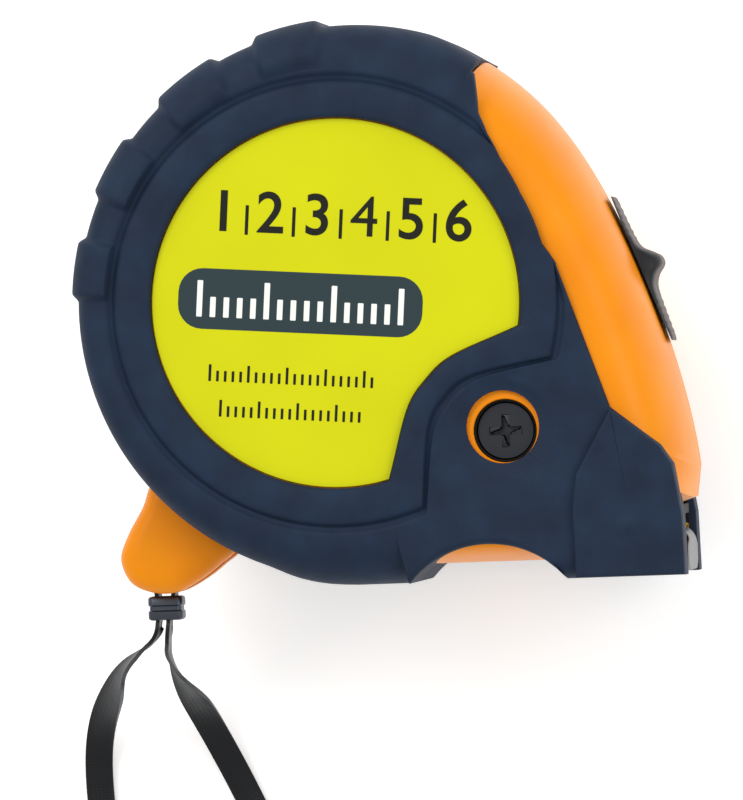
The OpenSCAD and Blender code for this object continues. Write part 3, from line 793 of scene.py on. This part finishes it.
def finish_piece(piece, finish, slot, body, *nodes):
    """Gives a piece its material and its body, and hides the CAD nodes that it stands for; its record slot is
    not used.
    """
    piece.data.materials.clear()
    piece.data.materials.append(material(finish))
    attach(piece, body)
    if nodes:
        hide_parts(*nodes)
    return piece


def repaint(node, finish):
    """A new material on a CAD node whose shape stays."""
    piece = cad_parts[node]
    if not piece.material_slots:
        piece.data.materials.append(material(finish))
    for slot in piece.material_slots:
        slot.material = material(finish)


# ------------------------------------------------------------------ settings

class TapeSizes(bpy.types.PropertyGroup):
    """Sizes that a user would change."""
    label_height: bpy.props.FloatProperty(
        name="Label height", description="Height of the label's face above the core", default=0.6 * MM,
        unit="LENGTH", precision=5)
    ribbon_width: bpy.props.FloatProperty(
        name="Ribbon width", description="Width of the wrist strap", default=4.2 * MM, unit="LENGTH",
        precision=5)
    ribbon_thick: bpy.props.FloatProperty(
        name="Ribbon thickness", description="Thickness of the wrist strap", default=0.6 * MM, unit="LENGTH",
        precision=5)
    camera_away: bpy.props.FloatProperty(
        name="Camera distance", description="From the label to the camera", default=1.5, unit="LENGTH")
    camera_lean: bpy.props.FloatProperty(
        name="Camera lean", description="Turn of the view towards the mouth", default=math.radians(5),
        subtype="ANGLE")
    camera_roll: bpy.props.FloatProperty(
        name="Camera roll", description="Turn of the view about the line of sight", default=math.radians(2),
        subtype="ANGLE")


class TapeColours(bpy.types.PropertyGroup):
    """Brightness of the studio."""
    room: bpy.props.FloatProperty(
        name="Room light", description="Strength of the even light from all round", default=0.68, min=0)
    key: bpy.props.FloatProperty(
        name="Key light", description="Power of the large soft light", default=4.0, min=0, unit="POWER")


# ------------------------------------------------------------------ operators

class StageOperator(bpy.types.Operator):
    """Makes the floor, the lights and the camera"""
    bl_idname = "tape.stage"
    bl_label = "Studio"

    def execute(self, context):
        sizes, tones = context.scene.tape_sizes, context.scene.tape_colours
        scene = context.scene
        scene.view_settings.view_transform = "Standard"
        half, level = 2.5, -0.0004
        corners = [(x * half, y * half, level) for x, y in ((-1, -1), (1, -1), (1, 1), (-1, 1))]
        floor = build("studio_floor", corners, [[0, 1, 2, 3]], smooth=False)
        floor.data.materials.append(material("card"))
        world = bpy.data.worlds.new("studio_light")
        scene.world = world
        world.use_nodes = True
        background = world.node_tree.nodes["Background"]
        background.inputs["Color"].default_value = (1, 1, 1, 1)
        background.inputs["Strength"].default_value = tones.room
        for name, at, size, power in [("key", (-0.35, 0.45, 0.75), 0.5, tones.key),
                                      ("fill", (0.6, 0.1, 0.6), 0.4, tones.key * 0.4)]:
            light = bpy.data.lights.new(name, "AREA")
            light.energy, light.size = power, size
            lamp = bpy.data.objects.new(name, light)
            lamp.location = at
            lamp.rotation_euler = (-Vector(at)).to_track_quat("-Z", "Y").to_euler()
            scene.collection.objects.link(lamp)
        self.add_camera(scene, sizes)
        return {"FINISHED"}

    def add_camera(self, scene, sizes):
        """Camera over the label, leaning to the mouth; it aims ahead of and below the label's middle."""
        back = Vector((math.sin(sizes.camera_lean), 0, math.cos(sizes.camera_lean)))
        tilt = Vector((math.sin(sizes.camera_roll), math.cos(sizes.camera_roll), 0))
        right = tilt.cross(back).normalized()
        up = back.cross(right).normalized()
        label = Vector(place((0, 0, CORE_H)))
        target = label + right * 5.3 * MM - up * 14.4 * MM
        camera = bpy.data.cameras.new("camera")
        camera.sensor_fit = "VERTICAL"
        camera.sensor_height = 36
        camera.lens = 36 * sizes.camera_away / 0.1186
        camera.clip_start, camera.clip_end = 0.01, 20
        eye = bpy.data.objects.new("camera", camera)
        eye.matrix_world = Matrix.Translation(target + back * sizes.camera_away) @ Matrix(
            (right, up, back)).transposed().to_4x4()
        scene.collection.objects.link(eye)
        scene.camera = eye


# Route of the wrist strap in mm, x and y from the reel's axis and z from the ground
STRAP_ROUTE = [
    (-30.3, -47.1, 30.6), (-30.8, -48.8, 30.4), (-33.2, -51.2, 26.4), (-36.8, -54.2, 19.6),
    (-39.6, -57.8, 12.4), (-41.9, -61.8, 6.2), (-43.2, -66.4, 2.4), (-43.5, -72, 1), (-43, -80, 1),
    (-42.4, -89, 1), (-42.4, -98, 1), (-43.2, -108, 1), (-43.4, -118, 1), (-41.8, -127.5, 1),
    (-37.4, -136, 1), (-29.6, -141.8, 1), (-20.4, -142.6, 1), (-12.2, -138, 1), (-7.6, -129.6, 1),
    (-6.6, -120, 1), (-8.2, -110, 1), (-11.2, -100, 1), (-14.4, -90, 1), (-17.8, -81, 1),
    (-21.4, -73, 1), (-24.2, -67, 2.4), (-26.4, -62, 6.2), (-28, -58, 12.4), (-28.9, -54.4, 19.6),
    (-29.2, -51.2, 26.4), (-28.9, -48.8, 30.4), (-28.7, -47.1, 30.6)]


def strap_ribbon(line, sizes):
    """The ribbon along its line: on edge at the collar, flat on the ground, its map in millimetres."""
    ahead = unit(np.gradient(line, axis=0))
    side = unit(np.cross([0, 0, 1], ahead))
    up = np.cross(ahead, side)
    run = run_along(line)
    end = np.minimum(run, run[-1] - run)
    turn = math.pi / 2 * (1 - smoothstep(0.005, 0.036, end)) * np.where(run > run[-1] / 2, -1, 1)
    wide = side * np.cos(turn)[:, None] + up * np.sin(turn)[:, None]
    over = up * np.cos(turn)[:, None] - side * np.sin(turn)[:, None]
    half_w, half_t = sizes.ribbon_width / 2, sizes.ribbon_thick / 2
    across = np.linspace(-1, 1, 13)
    crown = 0.12 * MM * np.sin(run * 190)[:, None] * (1 - across ** 2)
    thick = half_t * (0.62 + 0.38 * smoothstep(0.8, 0.93, np.abs(across)))
    middle = line[:, None] + wide[:, None] * (across * half_w)[None, :, None]
    top = middle + over[:, None] * (crown + thick)[..., None]
    low = middle + over[:, None] * (crown - thick)[..., None]
    ring = np.concatenate([top, low[:, ::-1]], axis=1)
    n, m = ring.shape[:2]
    points = np.concatenate([ring.reshape(-1, 3), ring[0].mean(0)[None], ring[-1].mean(0)[None]])
    strap = outwards(build("wrist_strap_ribbon", points, capped_faces(n, m)))
    u = np.repeat(run[:, None] / MM, m, 1)
    v = np.repeat((np.concatenate([across, across[::-1]]) * half_w / MM)[None], n, 0)
    flat = np.concatenate([np.stack([u, v], -1).reshape(-1, 2), [[0, 0], [run[-1] / MM, 0]]])
    layer = strap.data.uv_layers.new(name="weave")
    corners = np.empty(len(strap.data.loops), np.int32)
    strap.data.loops.foreach_get("vertex_index", corners)
    layer.data.foreach_set("uv", flat[corners].ravel())
    return sharpen(strap, 50)


def strap_crimp(middle):
    """The collar: a rounded tube with two bands, tapered at both ends."""
    outline = rounded_box(2.6, 2.95, 0.9)
    rings = []
    for inset, along in [(0.5, -1.8), (0.12, -1.66), (0, -1.4), (0, -0.5), (0.22, -0.3), (0.22, 0.3),
                         (0, 0.5), (0, 1.4), (0.12, 1.66), (0.5, 1.8)]:
        flat = inset_outline(outline, inset)
        rings.append(np.column_stack([flat[:, 0] + middle[0], np.full(len(flat), middle[1] + along),
                                      flat[:, 1]]))
    return closed_loft("strap_crimp", rings)


def strap_fold(pin, middle):
    """The ribbon's fold: up from the collar, round the pin and back, as one flat band."""
    t = np.linspace(0, math.pi, 24)
    wrap = np.stack([pin[0] + 1.75 * np.cos(t), pin[1] + 1.75 * np.sin(t)], -1)
    path = np.concatenate([[[middle[0] + 1.2, middle[1] + 1.6], [pin[0] + 1.7, pin[1] - 1.5]], wrap,
                           [[pin[0] - 1.7, pin[1] - 1.5], [middle[0] - 1.2, middle[1] + 1.6]]])
    ahead = unit(np.gradient(path, axis=0))
    normal = np.stack([ahead[:, 1], -ahead[:, 0]], -1) * 0.3
    rings = [np.array([[*(p + q), -2.5], [*(p + q), 2.5], [*(p - q), 2.5], [*(p - q), -2.5]])
             for p, q in zip(path, normal)]
    fold = closed_loft("strap_fold_band", rings)
    fold.data.uv_layers.new(name="weave")
    return fold


class StrapOperator(bpy.types.Operator):
    """Makes the satin wrist strap, its stitched fold and its collar"""
    bl_idname = "tape.strap"
    bl_label = "Wrist strap"

    def execute(self, context):
        sizes = context.scene.tape_sizes
        route = [(-30.2, -45.9, 30.6)] + STRAP_ROUTE + [(-28.6, -45.9, 30.6)]
        line = spline(route, 420) * MM + [REEL[0], REEL[1], 0]
        strap = finish_piece(strap_ribbon(line, sizes), "ribbon", "strap_ribbon", "case", "wrist_strap")
        pin, middle = [(np.mean(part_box(node), axis=0) - REEL) / MM for node in ("strap_pin", "strap_collar")]
        collar = finish_piece(strap_crimp(middle), "collar", "collar_metal", "case", "strap_collar")
        fold = finish_piece(strap_fold(pin, middle), "ribbon", "strap_ribbon", "case", "strap_fold")
        return {"FINISHED"}


def lug_cheek(name, outline, side):
    """One cheek of the lug: an ellipse's shoulder over its outline, closing in to the lug's middle."""
    middle = np.array([-27.2, -33.4])
    rings = [np.column_stack([outline * 0.985 + middle * 0.015, np.full(len(outline), 3.1)]),
             np.column_stack([outline, np.full(len(outline), 3.4)])]
    for t in np.linspace(0, math.pi / 2, 12):
        share = 1 - 0.42 * (1 - math.cos(t))
        rings.append(np.column_stack([middle + (outline - middle) * share,
                                      np.full(len(outline), 5.2 + 2.8 * math.sin(t))]))
    for share in (0.4, 0.2):
        rings.append(np.column_stack([middle + (outline - middle) * share, np.full(len(outline), 8.05)]))
    return closed_loft(name, rings, side, sharp=60)


class CasingOperator(bpy.types.Operator):
    """Makes the two orange halves of the case and the strap lug"""
    bl_idname = "tape.casing"
    bl_label = "Orange case"

    def execute(self, context):
        finish_piece(core_shell("casing_right_shell", 1), "abs", "case_abs", "case", "casing_right")
        finish_piece(core_shell("casing_left_shell", -1), "abs", "case_abs", "case", "casing_left")
        cup = [(0.4, 15.6), (6.9, 15.6), (6.9, 20.7), (6.6, 20.9), (4.85, 20.9), (4.7, 20.75), (4.7, 17.0),
               (0.4, 17.0)]
        finish_piece(turned("boss_cup", cup, BOSS), "abs", "case_abs", "case")
        outline = spline([(-29.6, -25.5), (-31.6, -29.6), (-33.9, -33.6), (-35.1, -37.2), (-33.8, -40.6),
                          (-31, -42.2), (-27.4, -42.5), (-24.2, -41.2), (-20.6, -38.7), (-17.6, -35.6),
                          (-20, -30), (-25, -26)], 120, closed=True)
        for name, side in (("lug_cheek_right", 1), ("lug_cheek_left", -1)):
            finish_piece(lug_cheek(name, outline, side), "abs", "case_abs", "case")
        web = dense([(-31.6, -32.2), (-24.4, -32.2), (-24.4, -40.4), (-20.9, -38.4), (-18, -35), (-20, -30),
                     (-27, -27), (-31, -28.5)], 0.8)
        finish_piece(slab("lug_web", web, -3.3, 3.3, 0.1, steps=3), "abs", "case_abs", "case")
        return {"FINISHED"}


class GripOperator(bpy.types.Operator):
    """Makes the two rubber jackets"""
    bl_idname = "tape.grips"
    bl_label = "Rubber grips"

    def execute(self, context):
        finish_piece(grip_shell("grip_right_jacket", 1), "rubber", "grip_rubber", "case", "grip_right")
        finish_piece(grip_shell("grip_left_jacket", -1), "rubber", "grip_rubber", "case", "grip_left")
        for name, side in (("grip_right_nose", 1), ("grip_left_nose", -1)):
            finish_piece(nose_facet(name, side), "rubber", "grip_rubber", "case")
        return {"FINISHED"}


def numeral(text, size, at, turn, height, name):
    """A printed numeral: the built-in letter shapes as a thin raised mesh, turned and put in place."""
    curve = bpy.data.curves.new(name, "FONT")
    curve.body = text
    curve.size = size
    curve.align_x, curve.align_y = "CENTER", "CENTER"
    curve.offset = 0.0 if "4" in text else size * 0.012
    curve.extrude = 0.02
    holder = bpy.data.objects.new(name, curve)
    bpy.context.scene.collection.objects.link(holder)
    graph = bpy.context.evaluated_depsgraph_get()
    mesh = bpy.data.meshes.new_from_object(holder.evaluated_get(graph), depsgraph=graph)
    bpy.data.objects.remove(holder)
    co = np.empty(len(mesh.vertices) * 3)
    mesh.vertices.foreach_get("co", co)
    co = co.reshape(-1, 3)
    c, s = math.cos(turn), math.sin(turn)
    in_place = np.column_stack([co[:, 0] * c - co[:, 1] * s + at[0], co[:, 0] * s + co[:, 1] * c + at[1],
                                co[:, 2] + height])
    mesh.vertices.foreach_set("co", place(in_place).ravel())
    mesh.update()
    piece = bpy.data.objects.new(name, mesh)
    bpy.context.scene.collection.objects.link(piece)
    return piece


LABEL_TURN = math.radians(-4.5)


def on_label(x, y):
    """Places in the label's own directions, which its print is turned to."""
    c, s = math.cos(LABEL_TURN), math.sin(LABEL_TURN)
    return np.array([x * c - y * s, x * s + y * c])


def label_plate(name, centre, half_x, half_y, corner, low, high):
    """A thin printed patch with rounded corners, on the label."""
    flat = on_label(*rounded_box(half_x, half_y, corner).T).T + on_label(*centre)
    return slab(name, flat, low, high, 0.01, steps=2)


class LabelOperator(bpy.types.Operator):
    """Makes the side label and its generic printed scale"""
    bl_idname = "tape.label"
    bl_label = "Label"

    def execute(self, context):
        face = CORE_H + 0.2 + context.scene.tape_sizes.label_height / MM
        deg = np.linspace(-180, 180, 361)[:-1]
        edge = label_reach(deg) + 0.12
        rows = [(edge, CORE_H), (edge, face - 0.06), (edge - 0.06, face)]
        for t in np.linspace(1, 0.06, 14):
            rows.append(((edge - 0.12) * t, face))
        grid = np.stack([polar_points(deg, r, np.full_like(deg, h)) for r, h in rows])
        n, m = grid.shape[:2]
        points = np.concatenate([grid.reshape(-1, 3), [[0, 0, CORE_H]], [[0, 0, face]]])
        label = sharpen(outwards(build("label_right_film", place(points), capped_faces(n, m))))
        finish_piece(label, "film", "label_film", "case", "label_right")
        top = face + 0.03
        # row of numerals with a tick between each pair
        for k in range(6):
            at = on_label(-17.2 + 7.0 * k, 12.6)
            digit = numeral(str(k + 1), 8.6, at, LABEL_TURN, top, f"label_numeral_{k + 1}")
            finish_piece(digit, "ink", "label_film", "case")
        for k in range(5):
            tick = label_plate(f"label_tick_{k + 1}", (-13.7 + 7.0 * k, 11.7), 0.25, 2.2, 0.1, face - 0.05,
                               top)
            finish_piece(tick, "ink", "label_film", "case")
        bar = label_plate("label_bar", (-5.2, -0.2), 18.2, 4.5, 3.6, face - 0.05, top + 0.01)
        finish_piece(bar, "slate_ink", "label_film", "case")
        for k in range(16):
            tall = 2.7 if k % 5 == 0 else 1.5
            mark = label_plate(f"label_bar_mark_{k + 1}", (-20.2 + 2.0 * k, -2.9 + tall), 0.42, tall, 0.12,
                               face - 0.05, top + 0.04)
            finish_piece(mark, "white_ink", "label_film", "case")
        for row, (x, y, count) in enumerate([(-18.2, -12.4, 22), (-16.4, -17.6, 19)]):
            for k in range(count):
                tall = 1.25 if k % 5 == 0 else 0.8
                mark = label_plate(f"label_rule_{row + 1}_{k + 1}", (x + 1.15 * k, y + tall), 0.2, tall, 0.08,
                                   face - 0.05, top)
                finish_piece(mark, "ink", "label_film", "case")
        repaint("label_left", "film")
        return {"FINISHED"}


class ScrewOperator(bpy.types.Operator):
    """Makes the recessed screw and repaints the screws that hardly show"""
    bl_idname = "tape.screws"
    bl_label = "Screws"

    def execute(self, context):
        a = np.linspace(0, TAU, 160, endpoint=False)
        r = np.concatenate([np.linspace(0.12, 3.9, 46), [4.0, 4.07, 4.1, 4.1, 4.0]])
        dome = 0.9 * (1 - (r / 4.1) ** 2.2)
        dome[-5:] = [0.03, -0.05, -0.2, -1.3, -1.5]
        x, y = np.outer(r, np.cos(a + 0.35)), np.outer(r, np.sin(a + 0.35))
        arm = smoothstep(2.35, 1.9, np.outer(r, np.ones_like(a)))
        u, v = np.outer(r, np.cos(a)), np.outer(r, np.sin(a))
        slot_x = smoothstep(0.62, 0.42, np.abs(u)) * arm
        slot_y = smoothstep(0.62, 0.42, np.abs(v)) * arm
        h = dome[:, None] - 1.3 * np.maximum(slot_x, slot_y)
        seat = 18.75
        grid = np.stack([x + BOSS[0], y + BOSS[1], h + seat], -1)
        n, m = grid.shape[:2]
        points = np.concatenate([grid.reshape(-1, 3), [[*BOSS, seat + 0.9 - 1.3], [*BOSS, seat - 1.5]]])
        head = sharpen(outwards(build("boss_screw_head", place(points), capped_faces(n, m))), 45)
        finish_piece(head, "oxide", "screw_steel", "case")
        # Painted shade: a thin black liner lines the orange recess round the screw head, so the recess shows
        # dark where shade falls. Only the orange rim above it stays bright.
        dish = [(0.4, 17.05), (4.66, 17.05), (4.66, 20.45), (4.5, 20.6), (4.35, 20.4), (4.3, 17.4),
                (0.4, 17.4)]
        finish_piece(turned("boss_recess_shade_liner", dish, BOSS), "soft_black", "screw_steel", "case")
        for node in ("boss_screw", "case_screws", "post_screw", "clip_screw"):
            repaint(node, "oxide")
        return {"FINISHED"}


LOCK_P = np.array([44.2, 3.8])
LOCK_A = math.radians(-69)


class LockOperator(bpy.types.Operator):
    """Makes the thumb button of the lock and repaints its leg and pad"""
    bl_idname = "tape.lock"
    bl_label = "Thumb lock"

    def execute(self, context):
        knots = [(-11.4, 0.45), (-10.9, 0.65), (-8, 0.75), (-4.6, 0.95), (-2.9, 1.4), (-1.6, 2.7),
                 (-0.6, 3.7), (0.3, 3.9), (1.0, 3.5), (1.9, 2.2), (3.2, 1.3), (5, 1.0), (8, 0.85),
                 (11.3, 0.7), (11.9, 0.45)]
        line = spline(knots, 150)
        s, tall = line[:, 0], line[:, 1]
        ribbed = smoothstep(4.8, 5.6, s) * smoothstep(11.2, 10.4, s)
        ribbed += smoothstep(-10.8, -10, s) * smoothstep(-4.0, -4.8, s)
        tall = tall + 0.07 * np.cos(s * TAU / 1.15) * ribbed
        half = 7.0 - 1.6 * np.abs(s / 11.9) ** 3.5
        across = np.linspace(-1, 1, 33)
        fall = (1 - np.abs(across) ** 5) ** 0.45
        hollow = 0.35 * np.cos(across * math.pi / 2) * np.exp(-((s - 0.4) / 1.6) ** 2)[:, None]
        n_top = 0.32 + (tall[:, None] - 0.32) * fall - hollow
        n_low = np.full_like(n_top, 0.3)
        along = np.array([math.cos(LOCK_A), math.sin(LOCK_A)])
        away = np.array([-along[1], along[0]])
        rings = []
        for k in range(len(s)):
            ring_n = np.concatenate([n_top[k], n_low[k][::-1]])
            ring_h = np.concatenate([across, across[::-1]]) * half[k]
            xy = LOCK_P + s[k] * along + ring_n[:, None] * away
            rings.append(np.column_stack([xy, ring_h]))
        button = closed_loft("lock_button_thumb", rings, sharp=50)
        finish_piece(button, "black", "lock_plastic", "lock", "lock_button")
        repaint("lock_leg", "black")
        repaint("brake_pad", "brake")
        return {"FINISHED"}


BLADE_Y = -36.8
BLADE_R = (12.5 ** 2 + 2.2 ** 2) / (2 * 2.2)


def cup(z):
    """Rise of the curved strip at a distance from its middle line: a circle's sagitta."""
    return BLADE_R - np.sqrt(BLADE_R ** 2 - z ** 2)


def left_of(path):
    """Normals of a flat path, to the left of its way."""
    ahead = unit(np.gradient(path, axis=0))
    return np.stack([-ahead[:, 1], ahead[:, 0]], -1)


def bent_plate(name, path, half, cupped, thick):
    """A sheet along a path in x and y; each point has its half width and its share of the blade's curve."""
    across = np.linspace(-1, 1, 25)
    rings = []
    slim = thick / 2 * np.where(np.abs(across) > 0.999, 0.64, 1)
    for p, q, w, c in zip(path, left_of(path), half, cupped):
        z = across * w
        rise = cup(z) * c
        top = np.column_stack([p[0] + q[0] * (rise + slim), p[1] + q[1] * (rise + slim), z])
        low = np.column_stack([p[0] + q[0] * (rise - slim), p[1] + q[1] * (rise - slim), z])
        rings.append(np.concatenate([top, low[::-1]]))
    return closed_loft(name, rings, sharp=40)


HOOK_X = 50.2


def blade_numeral(k):
    """The numeral of a centimetre on the blade, laid over its curve."""
    digit = numeral(str(k), 5.2, (0, 0), 0, 0, f"blade_numeral_{k}")
    co = np.empty(len(digit.data.vertices) * 3)
    digit.data.vertices.foreach_get("co", co)
    flat = (co.reshape(-1, 3) - REEL) / MM
    across, along = -flat[:, 1], flat[:, 0]
    start, rise = BLADE_TIP - 10 * k + 2.6, BLADE_Y + cup(across) + 0.13
    lying = np.column_stack([start + along, rise + flat[:, 2], across])
    digit.data.vertices.foreach_set("co", place(lying).ravel())
    digit.data.update()
    return outwards(digit)


def hook_plate():
    """The hook: a flange on the blade, a bend and a wide lip, narrower again at its foot."""
    t = np.linspace(0, math.pi / 2, 10)
    low = BLADE_Y + 0.15 + 0.55
    bend = 1.1
    centre = (HOOK_X - bend, low - bend)
    flange = np.column_stack([np.linspace(42.5, centre[0], 14), np.full(14, low)])
    corner = np.column_stack([centre[0] + bend * np.sin(t), centre[1] + bend * np.cos(t)])[1:]
    lip = np.column_stack([np.full(22, HOOK_X), np.linspace(centre[1], -41.55, 22)])[1:]
    path = np.concatenate([flange, corner, lip])
    share = np.clip((path[:, 0] - 42.5) / (HOOK_X - 42.5), 0, 1)
    down = smoothstep(low - 0.4, low - 2.0, path[:, 1])
    foot = smoothstep(-41.6, -40.2, path[:, 1])
    nose = smoothstep(42.3, 44.6, path[:, 0])
    half = (4.2 + 3.3 * nose) * (1 - down) + (8.0 + 4.2 * np.sqrt(foot)) * down
    return bent_plate("hook_plate", path, half, 1 - smoothstep(0.75, 1.0, share), 0.9)


def rivet_head(k, z):
    """One domed rivet head on the hook's flange."""
    a = np.linspace(0, TAU, 40, endpoint=False)
    base = BLADE_Y + float(cup(np.array(z)))
    profile = [(1.9, 1.1), (1.9, 1.35), (1.8, 1.6), (1.5, 1.85), (1.0, 2.05), (0.45, 2.12)]
    rings = [np.column_stack([45.8 + r * np.cos(a), np.full(40, base + up), z + r * np.sin(a)])
             for r, up in profile]
    return closed_loft(f"rivet_head_{k}", rings)


class BladeOperator(bpy.types.Operator):
    """Makes the blade's straight end, its numerals, the hook and the rivets"""
    bl_idname = "tape.blade"
    bl_label = "Blade and hook"

    def execute(self, context):
        x = np.linspace(3, 49.4, 60)
        tip = smoothstep(49.4, 48.2, x)
        blade = bent_plate("blade_strip", np.column_stack([x, np.full(60, BLADE_Y)]), 11.6 + 0.9 * tip,
                           np.ones(60), 0.25)
        finish_piece(blade, "blade", "blade_steel", "blade", "blade_tongue")
        for k in range(1, 5):
            finish_piece(blade_numeral(k), "ink", "blade_steel", "blade")
        finish_piece(hook_plate(), "nickel", "hook_plate", "hook", "end_hook")
        for k, z in ((1, 4.0), (2, -4.0)):
            finish_piece(rivet_head(k, z), "alu", "rivet_metal", "blade")
        repaint("hook_rivets", "alu")
        for node in ("blade_coil", "blade_lead"):
            repaint(node, "blade")
        repaint("mouth_bumper", "soft_black")
        return {"FINISHED"}


class ClipOperator(bpy.types.Operator):
    """Makes the sprung belt clip"""
    bl_idname = "tape.clip"
    bl_label = "Belt clip"

    def execute(self, context):
        z0 = -float(REEL[2]) / MM
        mid = 0.6
        t = np.linspace(0, math.pi, 22)
        top = 9.0
        centre = ((top + mid) / 2, 21.3)
        radius = (top - mid) / 2
        upper = np.column_stack([np.linspace(7.4, 21.3, 18), np.full(18, top)])
        round_end = np.column_stack([centre[1] + radius * np.sin(t), centre[0] + radius * np.cos(t)])[1:]
        leaf_y = np.linspace(21.3, -27, 60)[1:]
        ridge = 1.0 * np.exp(-((leaf_y + 19) / 1.8) ** 2)
        leaf = np.column_stack([leaf_y, mid + ridge])
        path = np.concatenate([upper, round_end, leaf])
        run = run_along(path)
        tip = np.sqrt(np.clip((run[-1] - run) / 7.0, 0, 1))
        start = np.sqrt(np.clip(run / 2.0, 0, 1))
        half = np.minimum(7.4 + 3.6 * tip, 9.0 + 2.0 * start)
        across = np.linspace(-1, 1, 41)
        swage = 0.35 * np.exp(-((np.abs(across) - 0.62) / 0.09) ** 2)
        on_leaf = smoothstep(run[-1] - 54, run[-1] - 46, run) * smoothstep(run[-1] - 6, run[-1] - 11, run)
        slim = np.where(np.abs(across) > 0.999, 0.38, 0.55)
        rings = []
        for p, q, w, on in zip(path, left_of(path), half, on_leaf):
            lift = -swage * on
            outer, inner = [np.column_stack([across * w, p[0] + q[0] * off, z0 + p[1] + q[1] * off])
                            for off in (lift + slim, lift - slim)]
            rings.append(np.concatenate([outer, inner[::-1]]))
        clip = closed_loft("belt_clip_spring", rings, sharp=45)
        finish_piece(clip, "clip", "clip_steel", "case", "belt_clip")
        return {"FINISHED"}


class InsideOperator(bpy.types.Operator):
    """Repaints the pieces inside the case"""
    bl_idname = "tape.inside"
    bl_label = "Inside"

    def execute(self, context):
        for node, finish in [("reel_drum", "acetal"), ("reel_cover", "acetal"), ("power_spring", "spring"),
                             ("centre_post", "turned"), ("strap_pin", "turned")]:
            repaint(node, finish)
        return {"FINISHED"}


class TapePanel(bpy.types.Panel):
    """Lists the pieces and the sizes"""
    bl_idname = "VIEW3D_PT_tape"
    bl_label = "Tape measure"
    bl_space_type = "VIEW_3D"
    bl_region_type = "UI"
    bl_category = "Tape"

    def draw(self, context):
        for group in (context.scene.tape_sizes, context.scene.tape_colours):
            for key in group.__annotations__:
                self.layout.prop(group, key)
        for operator in OPERATORS:
            self.layout.operator(operator.bl_idname)


OPERATORS = (StageOperator, StrapOperator, CasingOperator, GripOperator, LabelOperator, ScrewOperator,
             LockOperator, BladeOperator, ClipOperator, InsideOperator)
CLASSES = (TapeSizes, TapeColours) + OPERATORS + (TapePanel,)


def register():
    for cls in CLASSES:
        bpy.utils.register_class(cls)
    bpy.types.Scene.tape_sizes = bpy.props.PointerProperty(type=TapeSizes)
    bpy.types.Scene.tape_colours = bpy.props.PointerProperty(type=TapeColours)


def unregister():
    del bpy.types.Scene.tape_colours
    del bpy.types.Scene.tape_sizes
    for cls in reversed(CLASSES):
        bpy.utils.unregister_class(cls)


def main():
    register()
    for operator in OPERATORS:
        group, name = operator.bl_idname.split(".")
        getattr(getattr(bpy.ops, group), name)()


if __name__ == "__main__":
    main()
